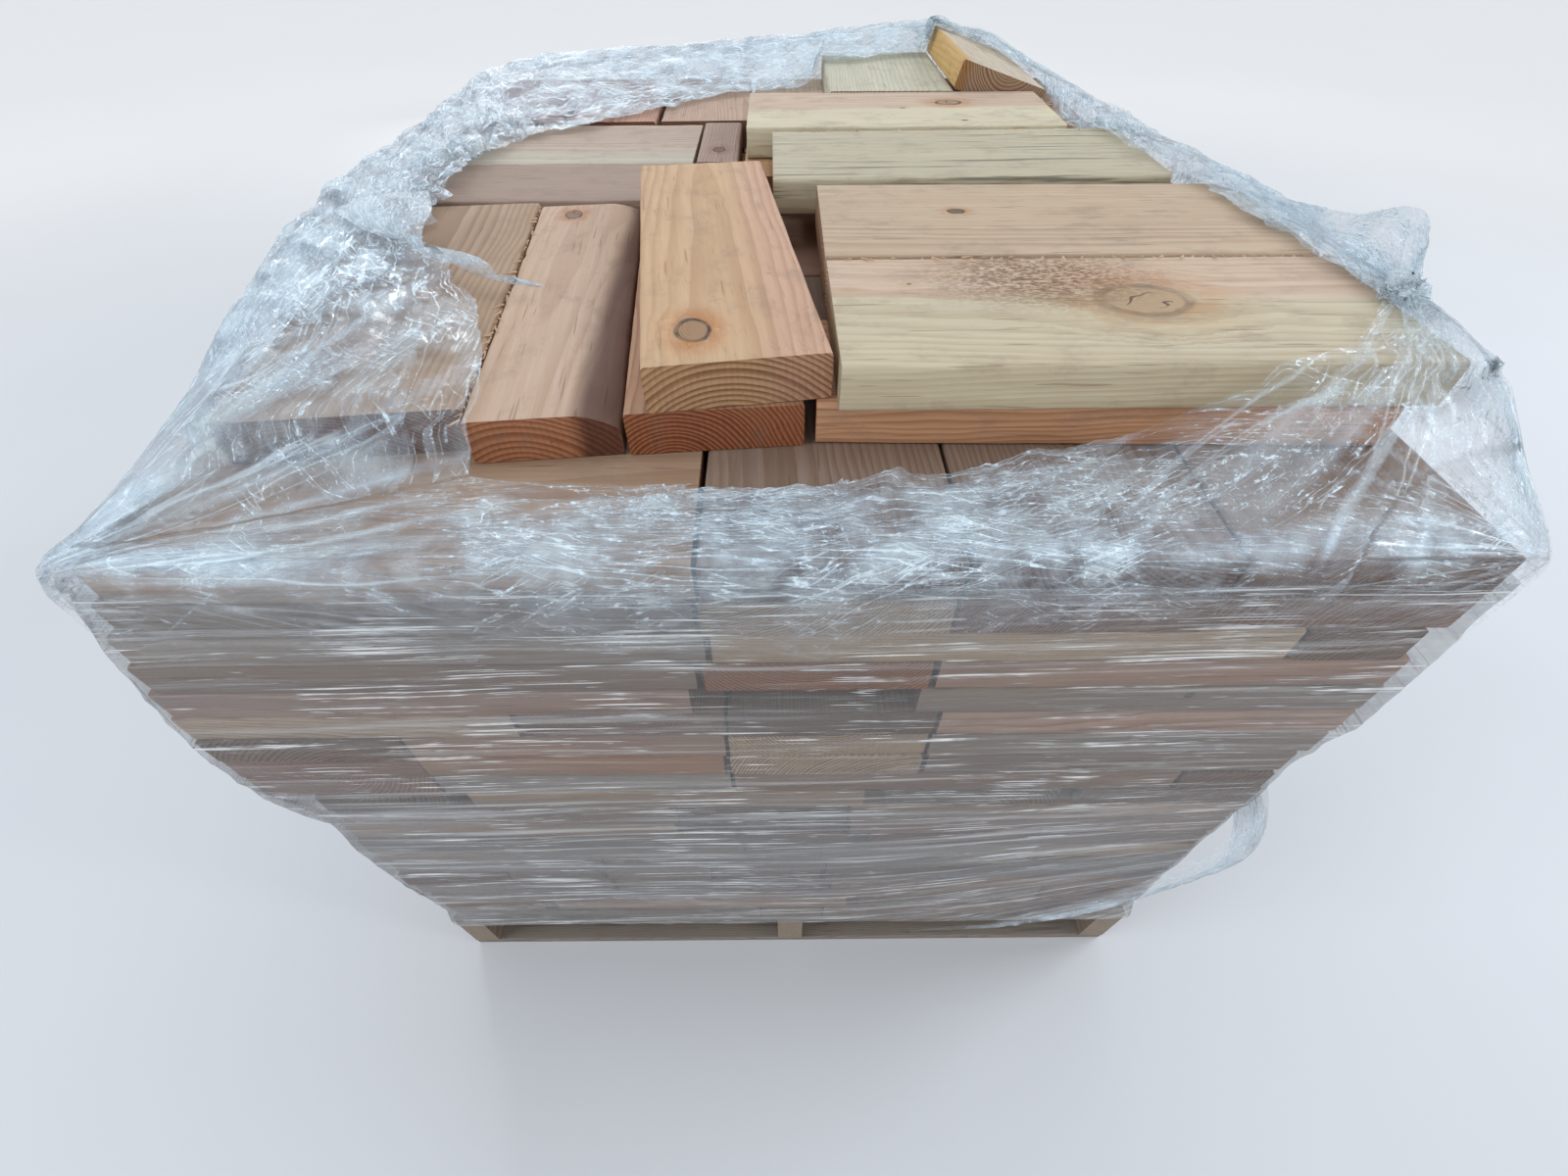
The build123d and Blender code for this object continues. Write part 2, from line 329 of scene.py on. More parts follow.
def sweptBlock(half, seed, steps, rings, wane=None, chips=0.0):
    halfWide, halfThick, halfLong = half - blockShape["inset"]
    ease = blockShape["ease"]
    rng = np.random.default_rng(seed)
    corners = [(1, -1), (1, 1), (-1, 1), (-1, -1)]
    section = []
    for index, (sx, sy) in enumerate(corners):
        start = -math.pi / 2 + index * math.pi / 2
        centre = (sx * (halfWide - ease), sy * (halfThick - ease))
        turns = 3 if steps > 1 else 2
        for k in range(turns):
            angle = start + (math.pi / 2) * k / (turns - 1)
            section.append((centre[0] + ease * math.cos(angle), centre[1] + ease * math.sin(angle)))
        nextX, nextY = corners[(index + 1) % 4]
        ahead = (nextX * (halfWide - ease), nextY * (halfThick - ease))
        along = steps if abs(ahead[0] - centre[0]) > abs(ahead[1] - centre[1]) else max(1, steps // 3)
        edgeAngle = start + math.pi / 2
        base = (centre[0] + ease * math.cos(edgeAngle), centre[1] + ease * math.sin(edgeAngle))
        far = (ahead[0] + ease * math.cos(edgeAngle), ahead[1] + ease * math.sin(edgeAngle))
        for k in range(1, along):
            share = k / along
            section.append((base[0] + (far[0] - base[0]) * share, base[1] + (far[1] - base[1]) * share))
    section = np.array(section)
    count = len(section)
    levels = np.linspace(-halfLong, halfLong, rings)
    points = np.zeros((rings, count, 3))
    points[:, :, :2] = section[None]
    points[:, :, 2] = levels[:, None]
    skew = rng.normal(size=(2, 2)) * blockShape["endSkew"]
    for end, sign in ((0, 1.0), (-1, -1.0)):
        slope = (section[:, 0] / halfWide * skew[0, end] + section[:, 1] / halfThick * skew[1, end] * 0.4)
        points[end, :, 2] += sign * (np.abs(slope).max() + slope) * 0.5
    flat = points.reshape(-1, 3)
    worn = blockShape["wornBand"]
    nearEdge = (np.clip(1 - (halfWide - np.abs(flat[:, 0])) / worn, 0, 1)
                * np.clip(1 - (halfThick - np.abs(flat[:, 1])) / worn, 0, 1))
    wear = (0.5 + 0.5 * smoothNoise(flat, 90.0, seed + 5)) * blockShape["edgeNoise"] * (0.3 + nearEdge)
    if chips:
        wear = wear + nearEdge * chips * np.clip(smoothNoise(flat * (1, 1, 3.0), 60.0, seed + 9) - 0.35, 0, 1)
    flat[:, 0] -= np.sign(flat[:, 0]) * wear * (np.abs(flat[:, 0]) > halfWide - worn)
    flat[:, 1] -= np.sign(flat[:, 1]) * wear * (np.abs(flat[:, 1]) > halfThick - worn)
    if wane:
        side, reach, depth = wane
        close = np.clip((side * flat[:, 0] - (halfWide - reach)) / reach, 0, 1)
        ragged = 1.0 + 0.25 * smoothNoise(flat, 35.0, seed + 11)
        flat[:, 1] -= (flat[:, 1] > -halfThick * 0.5) * depth * close ** 1.5 * ragged
    faces = []
    for r in range(rings - 1):
        for k in range(count):
            n = (k + 1) % count
            faces.append((r * count + k, r * count + n, (r + 1) * count + n, (r + 1) * count + k))
    base = len(flat)
    capped = np.concatenate([flat, flat[:count], flat[-count:]])
    faces.append(tuple(base + count - 1 - k for k in range(count)))
    faces.append(tuple(base + count + k for k in range(count)))
    isEnd = np.zeros(len(capped))
    isEnd[base:] = 1.0
    return capped, faces, isEnd


# Finishes of the blocks: tone, ring spacing in metres, contrast, stain, where the pith lies, and the knot
# (x and z of its middle and its radius)

tones = {
    "tan": (0.56, 0.37, 0.22), "pink": (0.58, 0.37, 0.26), "orange": (0.50, 0.25, 0.11),
    "brown": (0.34, 0.21, 0.13), "grey": (0.40, 0.33, 0.27), "beige": (0.60, 0.46, 0.33),
    "dusk": (0.33, 0.25, 0.185), "sand": (0.66, 0.49, 0.31),
    "umber": (0.30, 0.215, 0.16), "clay": (0.42, 0.26, 0.18),
}
noKnot = (0.0, 0.0, 0.0)
mixedTones = ["tan", "tan", "pink", "orange", "beige", "brown", "grey", "clay", "dusk", "dusk", "umber"]
# blocks that the photo shows from above; "second" is another tone across the width: colour, where it
# starts, how softly
topFinishes = {
    "loose_block_22_01": {
        "tone": (0.61, 0.385, 0.26), "second": ((0.61, 0.405, 0.235), -0.035, 0.02), "rings": 0.0048,
        "contrast": 0.40, "pith": (0.005, -0.095, 0.03), "knot": (0.030, -0.178, 0.0125), "stain": 0.08,
        "cracks": 1.0, "endTone": 0.78},
    "loose_block_22_02": {
        "tone": (0.60, 0.52, 0.36), "second": ((0.63, 0.475, 0.345), 0.012, 0.012), "rings": 0.0036,
        "contrast": 0.34, "pith": (0.01, -0.16, 0.02), "knot": (0.008, 0.028, 0.026), "stain": 0.30,
        "scorch": 1.0, "endTone": 0.95},
    "loose_block_22_03": {
        "tone": (0.56, 0.43, 0.30), "rings": 0.0050, "contrast": 0.45, "pith": (-0.09, -0.05, 0.03),
        "knot": (0.012, -0.088, 0.0060), "stain": 0.16},
    "loose_block_22_04": {
        "tone": (0.55, 0.50, 0.36), "rings": 0.0042, "contrast": 0.45, "pith": (0.14, -0.09, 0.02),
        "knot": noKnot, "stain": 0.95},
    "loose_block_22_05": {
        "tone": (0.66, 0.60, 0.43), "second": ((0.60, 0.46, 0.34), 0.0, 0.012), "rings": 0.0044,
        "contrast": 0.35, "pith": (0.10, -0.11, -0.02), "knot": (0.028, 0.075, 0.0125), "stain": 0.12},
    "loose_block_22_06": {
        "tone": (0.58, 0.56, 0.43), "rings": 0.0040, "contrast": 0.35, "pith": (-0.1, -0.11, 0.02),
        "knot": noKnot, "stain": 0.15},
    "leaning_block": {
        "tone": (0.66, 0.57, 0.43), "second": ((0.66, 0.42, 0.14), 0.060, 0.006), "rings": 0.0040,
        "contrast": 0.35, "knot": noKnot, "stain": 0.1},
    "loose_block_21_01": {
        "tone": (0.45, 0.315, 0.21), "rings": 0.0034, "contrast": 0.60, "pith": (0.02, -0.13, 0.03),
        "knot": noKnot, "stain": 0.1, "endTone": 0.42},
    "loose_block_21_02": {
        "tone": (0.17, 0.095, 0.072), "second": ((0.575, 0.41, 0.295), -0.040, 0.009), "rings": 0.0052,
        "contrast": 0.30, "pith": (0.012, -0.075, 0.05),
        "knot": (0.018, 0.195, 0.009), "stain": 0.05, "endTone": 0.58, "wane": (-1.0, 0.034, 0.011),
        "chips": 0.004, "endRed": 1.0},
    "loose_block_21_03": {
        "tone": (0.48, 0.28, 0.17), "rings": 0.0034, "contrast": 0.9, "pith": (0.03, -0.05, 0.02),
        "knot": noKnot, "endTone": 0.60, "endRed": 1.0},
    "loose_block_21_04": {"tone": (0.66, 0.36, 0.20), "rings": 0.0030, "contrast": 0.7, "knot": noKnot},
    "loose_block_21_05": {
        "tone": (0.365, 0.27, 0.215), "rings": 0.0034, "contrast": 0.50, "pith": (0.09, -0.07, 0.03),
        "knot": noKnot, "stain": 0.1},
    "loose_block_21_06": {
        "tone": (0.58, 0.52, 0.42), "second": ((0.54, 0.42, 0.33), -0.03, 0.03), "rings": 0.0046,
        "contrast": 0.35, "pith": (-0.05, -0.1, 0.02), "knot": noKnot, "stain": 0.1},
    "loose_block_21_07": {"tone": (0.42, 0.30, 0.24), "contrast": 0.6, "knot": (0.0, -0.04, 0.008)},
    "loose_block_21_08": {"tone": (0.46, 0.27, 0.14), "contrast": 0.7, "knot": noKnot},
    "loose_block_21_14": {"tone": (0.46, 0.22, 0.16), "contrast": 0.6, "endTone": 0.4},
    "loose_block_21_15": {"tone": (0.50, 0.30, 0.22), "contrast": 0.6, "endTone": 0.4},
    "loose_block_21_16": {"tone": (0.52, 0.37, 0.28), "contrast": 0.6, "knot": noKnot, "endTone": 0.4},
    "loose_block_21_17": {"tone": (0.64, 0.50, 0.39), "contrast": 0.5, "knot": noKnot, "endTone": 0.35},
    "loose_block_21_18": {"tone": (0.56, 0.44, 0.33), "contrast": 0.6, "knot": noKnot, "endTone": 0.4},
}
# blocks of the front face, by course and by a place across it in metres
frontFinishes = [
    # the block at the left of the shelf is a darker brown: painted shade of the film above it
    (20, -0.30, {"tone": (0.45, 0.31, 0.205), "contrast": 0.5, "endTone": 0.75, "knot": noKnot}),
    (20, 0.05, {"tone": "umber", "contrast": 0.6}), (20, 0.20, {"tone": "umber", "contrast": 0.6}),
    (20, 0.40, {"tone": "umber", "contrast": 0.5}),
    (19, 0.05, {"tone": "sand", "endTone": 1.0}), (18, 0.05, {"tone": "sand", "endTone": 1.0}),
    (17, 0.05, {"tone": "orange", "endTone": 0.7}), (16, 0.05, {"tone": "brown", "endTone": 0.5}),
    (15, 0.05, {"tone": "dusk", "endTone": 0.6}), (14, 0.05, {"tone": "sand", "endTone": 1.0}),
    (13, 0.05, {"tone": "sand", "endTone": 0.95}), (12, 0.05, {"tone": "brown"}),
    (13, -0.45, {"tone": "orange"}), (12, -0.45, {"tone": "orange"}), (15, -0.12, {"tone": "clay"}),
    (10, 0.25, {"tone": "tan"}), (9, 0.25, {"tone": "clay"}), (8, 0.25, {"tone": "orange"}),
    (6, -0.16, {"tone": "tan", "endTone": 0.8}), (5, -0.16, {"tone": "sand", "endTone": 0.8}),
    (4, -0.16, {"tone": "tan", "endTone": 0.8}), (6, -0.02, {"tone": "clay", "endTone": 0.9}),
    (5, -0.02, {"tone": "clay", "endTone": 0.9}), (4, -0.02, {"tone": "clay", "endTone": 0.8}),
    (3, -0.02, {"tone": "clay", "endTone": 0.8}), (8, -0.02, {"tone": "brown"}), (7, -0.02, {"tone": "clay"}),
    (18, 0.30, {"tone": "dusk"}), (19, 0.30, {"tone": "clay"}), (17, 0.30, {"tone": "clay"}),
    (19, -0.30, {"tone": "dusk"}), (18, -0.30, {"tone": "grey"}), (17, -0.30, {"tone": "umber"}),
    (16, -0.30, {"tone": "clay"}),
]


frontBand = -0.3  # blocks whose middle lies in front of this line are in the front band


def frontFinish(node, block):
    if not node.startswith("course_") or block["centre"][1] > frontBand:
        return {}
    xs = [p[0] for p in footprint(block)]
    for course, x, finish in frontFinishes:
        if node == f"course_{course:02d}" and min(xs) < x < max(xs):
            return finish
    return {}


# Pallet boards are dark grey brown: weathered wood, darkened further as painted shade under the load.
palletTones = [(0.30, 0.245, 0.19), (0.34, 0.27, 0.20), (0.27, 0.235, 0.20), (0.36, 0.28, 0.19)]


def randomFinish(rng):
    return {
        "tone": tones[rng.choice(mixedTones)], "rings": rng.uniform(0.0022, 0.0055),
        "contrast": rng.uniform(0.35, 0.8), "stain": rng.uniform(0.0, 0.25),
        "pith": (rng.uniform(-0.12, 0.12), rng.choice([-1, 1]) * rng.uniform(0.03, 0.14),
                 rng.uniform(-0.06, 0.06)),
        "knot": (rng.uniform(-0.06, 0.06), rng.uniform(-0.2, 0.2),
                 rng.choice([0.0, 0.0, 0.006, 0.011, 0.016])),
        "wane": None, "chips": 0.0, "second": None, "endTone": rng.uniform(0.55, 0.8), "endRed": 0.0,
        "scorch": 0.0, "cracks": 0.0,
    }


def boardFinish(rng):
    return {
        "tone": rng.choice(palletTones), "rings": rng.uniform(0.002, 0.004),
        "contrast": rng.uniform(0.5, 0.8),
        "stain": rng.uniform(0.3, 0.7), "cracks": 0.8, "endTone": 0.7,
        "knot": (rng.uniform(-0.03, 0.03), rng.uniform(-0.4, 0.4), rng.choice([0.0, 0.008, 0.012])),
    }


def buildBlocks(name, node, fine):
    # each node's seed comes from the letters of its name
    rng = random.Random(sum(ord(c) * (i + 3) for i, c in enumerate(node)))
    allPoints, allFaces = [], []
    attributes = {}
    offset = 0
    for block in readBlocks(node):
        finish = randomFinish(rng)
        special = boardFinish(rng) if "deck" in node else topFinishes.get(node) or frontFinish(node, block)
        finish.update(special)
        tone = tones.get(finish["tone"], finish["tone"])
        second, secondEdge, secondWidth = finish["second"] or (tone, 0.5, 0.01)
        seed = rng.randrange(100000)
        steps, rings = blockShape["fineGrid" if fine else "plainGrid"]
        points, faces, isEnd = sweptBlock(block["half"], seed, steps, rings, finish["wane"], finish["chips"])
        allPoints.append(points @ block["axes"].T + block["centre"])
        allFaces += [tuple(i + offset for i in face) for face in faces]
        shade = rng.uniform(0.93, 1.05)
        wholeBlock = {
            "pith": finish["pith"], "tone": np.array(tone) * shade, "second": np.array(second) * shade,
            "traits": (finish["rings"], finish["contrast"], finish["stain"]), "knot": finish["knot"],
            "edge": (secondEdge, secondWidth, finish["endTone"]),
            "marks": (finish["endRed"], finish["scorch"], finish["cracks"]), "number": rng.uniform(0, 50),
        }
        values = {label: np.repeat([value], len(points), 0) for label, value in wholeBlock.items()}
        for label, layer in {"board": points, "isEnd": isEnd, **values}.items():
            attributes.setdefault(label, []).append(layer)
        offset += len(points)
    mesh = bpy.data.meshes.new(name)
    mesh.from_pydata(np.concatenate(allPoints).tolist(), [], allFaces)
    for label, pieces in attributes.items():
        values = np.concatenate(pieces)
        addAttribute(mesh, label, values, values.ndim > 1)
    mesh.polygons.foreach_set("use_smooth", [True] * len(mesh.polygons))
    piece = addObject(name, mesh)
    mesh.set_sharp_from_angle(angle=math.radians(blockShape["sharpAngle"]))
    mesh.validate()
    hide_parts(node)
    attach(piece, "root")
    return piece


# Wood: rings round the pith, fibres, knots, saw marks and blue stain, all in the block's own axes

def sawnWoodGroup():
    vectors = [(label, "Vector", None) for label in ("Board", "Pith", "Edge", "Marks", "Traits", "Knot")]
    colours = [(label, "Color", None) for label in ("Tone", "Second")]
    inp, out, group = makeGroup("sawnWood", vectors + colours + [
        ("End", "Float", 0.0), ("Number", "Float", 0.0), ("Dirt", "Float", 0.1),
    ], [("Color", "Color"), ("Roughness", "Float"), ("Height", "Float")])
    board = parts(inp["Board"])
    pith = parts(inp["Pith"])
    traits = parts(inp["Traits"])
    knot = parts(inp["Knot"])
    shift = joined(inp["Number"], inp["Number"], inp["Number"])
    place = vectorCalc("ADD", inp["Board"], shift)
    knotX = minus(board[0], knot[0])
    knotZ = minus(board[2], knot[1])
    ragged = stretchNoise(place, (70, 70, 70))
    flatZ = times(knotZ, 0.72)
    squared = plus(times(knotX, knotX), times(flatZ, flatZ))
    distance = times(calc("SQRT", squared), ramp(ragged, 0.2, 0.8, 0.93, 1.07))
    radius = largest(knot[2], 0.0001)
    relative = calc("DIVIDE", distance, radius)
    hasKnot = calc("GREATER_THAN", knot[2], 0.002)
    pull = times(ramp(relative, 0.6, 3.2, 0.95, 0.0), hasKnot)
    spreadX = minus(board[0], times(knotX, pull))
    drift = times(pith[2], board[2])
    wobble = stretchNoise(place, (9, 9, 3.2), 3.0)
    wobbleX = times(minus(wobble, 0.5), 0.026)
    x = plus(minus(spreadX, pith[0]), drift, wobbleX)
    wobbleAcross = stretchNoise(place, (5, 5, 1.4), 1.0)
    y = plus(minus(board[1], pith[1]), times(minus(wobbleAcross, 0.5), 0.022))
    ring = calc("SQRT", plus(times(x, x), times(y, y)))
    ringVector = joined(ring, inp["Number"])
    uneven = stretchNoise(ringVector, (60, 1, 1))
    phase = plus(calc("DIVIDE", ring, traits[0]), times(uneven, 2.2))
    part = calc("FRACT", phase)
    late = times(ramp(part, 0.25, 0.92), ramp(part, 0.94, 1.0, 1.0, 0.0))
    fibre = stretchNoise(place, (900, 900, 22), 2.0, 0.6)
    streak = stretchNoise(place, (170, 170, 5), 3.0, 0.6)
    broad = stretchNoise(place, (14, 14, 3.0), 3.0, 0.55)
    edge = parts(inp["Edge"])
    marks = parts(inp["Marks"])
    across = plus(x, pith[0])
    over = calc("DIVIDE", minus(across, edge[0]), edge[1])
    tone = blendColour(ramp(over, -1.0, 1.0), inp["Tone"], inp["Second"])
    lateTone = dyed(tone, (0.5, 0.36, 0.25))
    strength = calc("MULTIPLY", late, plus(traits[1], times(inp["End"], 0.55)), clamp=True)
    colour = blendColour(strength, tone, lateTone)
    colour = tint(ramp(broad, 0.3, 0.75, 0.0, 0.5), colour, (1.1, 1.08, 1.0), tone)
    colour = tint(ramp(streak, 0.35, 0.7, 0.3, 0.0), colour, (0.8, 0.68, 0.58), tone)
    colour = tint(ramp(fibre, 0.3, 0.7, 0.3, 0.0), colour, (0.72, 0.66, 0.6))
    dash = stretchNoise(place, (320, 320, 14), 1.0)
    colour = tint(ramp(dash, 0.67, 0.74, 0.0, 0.6), colour, (0.45, 0.36, 0.3), tone)
    # blue stain: long thin grey green streaks
    blue = stretchNoise(place, (85, 85, 3.2), 3.0, 0.65)
    stainMask = calc("MULTIPLY", ramp(blue, 0.58, 0.66), times(traits[2], 0.75), clamp=True)
    colour = tint(stainMask, colour, (0.2, 0.23, 0.24))
    # end grain is darker and warmer, with bars left by the saw
    dark = joined(*(calc("POWER", edge[2], power) for power in (0.8, 1.25, 1.6)))
    endTone = dyed(colour, dark)
    endTone = tint(times(strength, 0.75), endTone, (0.62, 0.52, 0.44))
    endTone = tint(times(marks[0], 0.45), endTone, (1.35, 0.8, 0.48))
    endPlace = vectorCalc("ADD", vectorCalc("MULTIPLY", inp["Board"], (1.0, 0.12, 0.0)), shift)
    endBar = waveBands(endPlace, 62.0, 1.6, 1.5)
    endTone = tint(ramp(endBar, 0.55, 1.0, 0.0, 0.28), endTone, (0.78, 0.72, 0.66))
    colour = blendColour(inp["End"], colour, endTone)
    # knot: its own rings, a dark bark line and radial cracks
    own = calc("FRACT", times(distance, 420.0))
    angle = calc("ARCTAN2", knotX, flatZ)
    spokePlace = joined(times(angle, 0.8), inp["Number"], times(distance, 30.0))
    spokeValues = {"Vector": spokePlace, "Scale": 1.6, "Detail": 2.0}
    spoke = addNode(group, "ShaderNodeTexNoise", spokeValues).outputs[0]
    knotTone = tint(ramp(own, 0.5, 1.0, 0.0, 0.5), dyed(tone, (0.58, 0.5, 0.44)), (0.34, 0.26, 0.21), tone)
    knotTone = tint(times(marks[1], 0.65), knotTone, (0.8, 0.66, 0.52), tone)
    smallKnot = ramp(radius, 0.006, 0.0115, 0.65, 0.0)
    knotTone = blendColour(smallKnot, knotTone, (0.07, 0.042, 0.028))
    crackWidth = ramp(relative, 0.1, 0.9, 0.022, 0.003)
    split = stretchNoise(place, (42, 42, 26), 1.0)
    crack = calc("LESS_THAN", calc("ABSOLUTE", minus(split, 0.5)), crackWidth)
    crack = times(crack, calc("LESS_THAN", relative, 0.62))
    knotTone = blendColour(times(crack, 0.8), knotTone, (0.05, 0.03, 0.02))
    inside = times(ramp(relative, 0.92, 1.0, 1.0, 0.0), hasKnot)
    bark = times(ramp(relative, 0.82, 0.94), ramp(relative, 1.06, 1.24, 1.0, 0.0), hasKnot)
    bark = times(bark, ramp(spoke, 0.35, 0.6, 0.55), minus(1.0, times(marks[1], 0.55)))
    halo = times(ramp(relative, 1.0, 3.0, 0.9, 0.0), hasKnot, ramp(ragged, 0.3, 0.65, 0.25))
    halo = times(halo, minus(1.0, times(marks[1], 0.35)))
    colour = tint(halo, colour, (0.84, 0.55, 0.32))
    colour = blendColour(inside, colour, knotTone)
    colour = blendColour(times(bark, 0.95), colour, (0.03, 0.018, 0.013))
    # pin knots: small dark dots, each with a faint halo
    pins = addNode(group, "ShaderNodeTexVoronoi", {
        "Vector": vectorCalc("MULTIPLY", place, (1.0, 0.55, 0.6)), "Scale": 15.0}, feature="F1").outputs
    pinPick = parts(pins["Color"])
    chosen = calc("GREATER_THAN", pinPick[0], 0.46)
    pin = times(calc("LESS_THAN", pins["Distance"], ramp(pinPick[1], 0.0, 1.0, 0.02, 0.052)), chosen)
    pinHalo = times(ramp(pins["Distance"], 0.04, 0.13, 0.35, 0.0), chosen)
    colour = tint(pinHalo, colour, (0.85, 0.66, 0.45))
    colour = blendColour(times(pin, 0.85), colour, (0.075, 0.045, 0.03))
    # rough brown stain beside the large knot, and hair cracks over the whole face
    scorchPlace = joined(minus(board[0], 0.055), 0.0, times(plus(board[2], 0.045), 0.62))
    scorchFar = vectorCalc("LENGTH", scorchPlace, out="Value")
    scorchSpots = stretchNoise(place, (420, 420, 170), 4.0, 0.75)
    scorch = times(ramp(scorchFar, 0.012, 0.088, 1.0, 0.0), ramp(scorchSpots, 0.42, 0.56))
    scorch = times(scorch, marks[1], calc("GREATER_THAN", board[1], 0.0))
    colour = blendColour(times(scorch, 0.9), colour, (0.17, 0.085, 0.035))
    hair = stretchNoise(place, (48, 48, 13), 3.0, 0.6, 0.8)
    hairLine = ramp(calc("ABSOLUTE", minus(hair, 0.5)), 0.0, 0.006, 1.0, 0.0)
    hairLine = times(hairLine, ramp(stretchNoise(place, (30, 30, 12)), 0.5, 0.6), marks[2])
    colour = blendColour(times(hairLine, 0.5), colour, (0.22, 0.13, 0.07))
    # faint bars across the grain from the saw, and handling dirt
    barPlace = vectorCalc("ADD", vectorCalc("MULTIPLY", inp["Board"], (0.05, 0.05, 1.0)), shift)
    bars = waveBands(barPlace, 38.0, 2.5)
    bars = times(bars, minus(1.0, inp["End"]))
    colour = tint(ramp(bars, 0.6, 1.0, 0.0, 0.07), colour, (0.8, 0.76, 0.72))
    smudge = stretchNoise(place, (34, 34, 22), 5.0, 0.68)
    colour = blendColour(times(ramp(smudge, 0.49, 0.7), inp["Dirt"]), colour, (0.2, 0.14, 0.1))
    # a slight blue cast over all the wood: painted cool sky light
    colour = dyed(colour, (1.0, 1.04, 1.1))
    height = plus(times(strength, 0.35), times(fibre, 0.5), times(bars, 0.16), times(endBar, inp["End"], 0.5))
    connect(out, {"Color": colour, "Roughness": ramp(fibre, 0.2, 0.8, 0.58, 0.78),
                  "Height": minus(height, times(crack, inside, 1.5))})
    return group


def lumberMaterial(name, group, dirt):
    material, tree, out = newMaterial(name)
    labels = ("board", "pith", "traits", "knot", "tone", "second", "edge", "marks")
    values = readers(tree, {label.capitalize(): label for label in labels}, "Vector")
    values.update(readers(tree, {"End": "isEnd", "Number": "number"}, "Fac"))
    finishWood(tree, useGroup(tree, group, {**values, "Dirt": dirt}), out)
    return material


def stringerMaterial(group):
    material, tree, out = newMaterial("palletStringer")
    x, y, z = parts(addNode(tree, "ShaderNodeTexCoord").outputs["Object"])
    # dark grey brown: weathered wood and painted shade under the load
    tone = (0.31, 0.25, 0.19, 1)
    values = {"Board": joined(x, z, y), "Pith": (0.12, -0.05, 0.01), "Tone": tone, "Second": tone,
              "Edge": (0.9, 0.01, 0.8), "Marks": (0, 0, 0.8), "Traits": (0.003, 0.7, 0.5), "Knot": (0, 0, 0),
              "Dirt": 0.45}
    finishWood(tree, useGroup(tree, group, values), out)
    return material


def finishWood(tree, wood, out):
    bump = addNode(tree, "ShaderNodeBump", {"Height": wood["Height"], "Strength": 0.55, "Distance": 0.0006})
    shader = addNode(tree, "ShaderNodeBsdfPrincipled", {
        "Base Color": wood["Color"], "Roughness": wood["Roughness"],
        "Normal": bump.outputs[0], "Specular IOR Level": 0.35})
    tree.links.new(shader.outputs[0], out[0])


# Stretch film: a wound wrap round the courses, a crumpled rim above it and loose ends

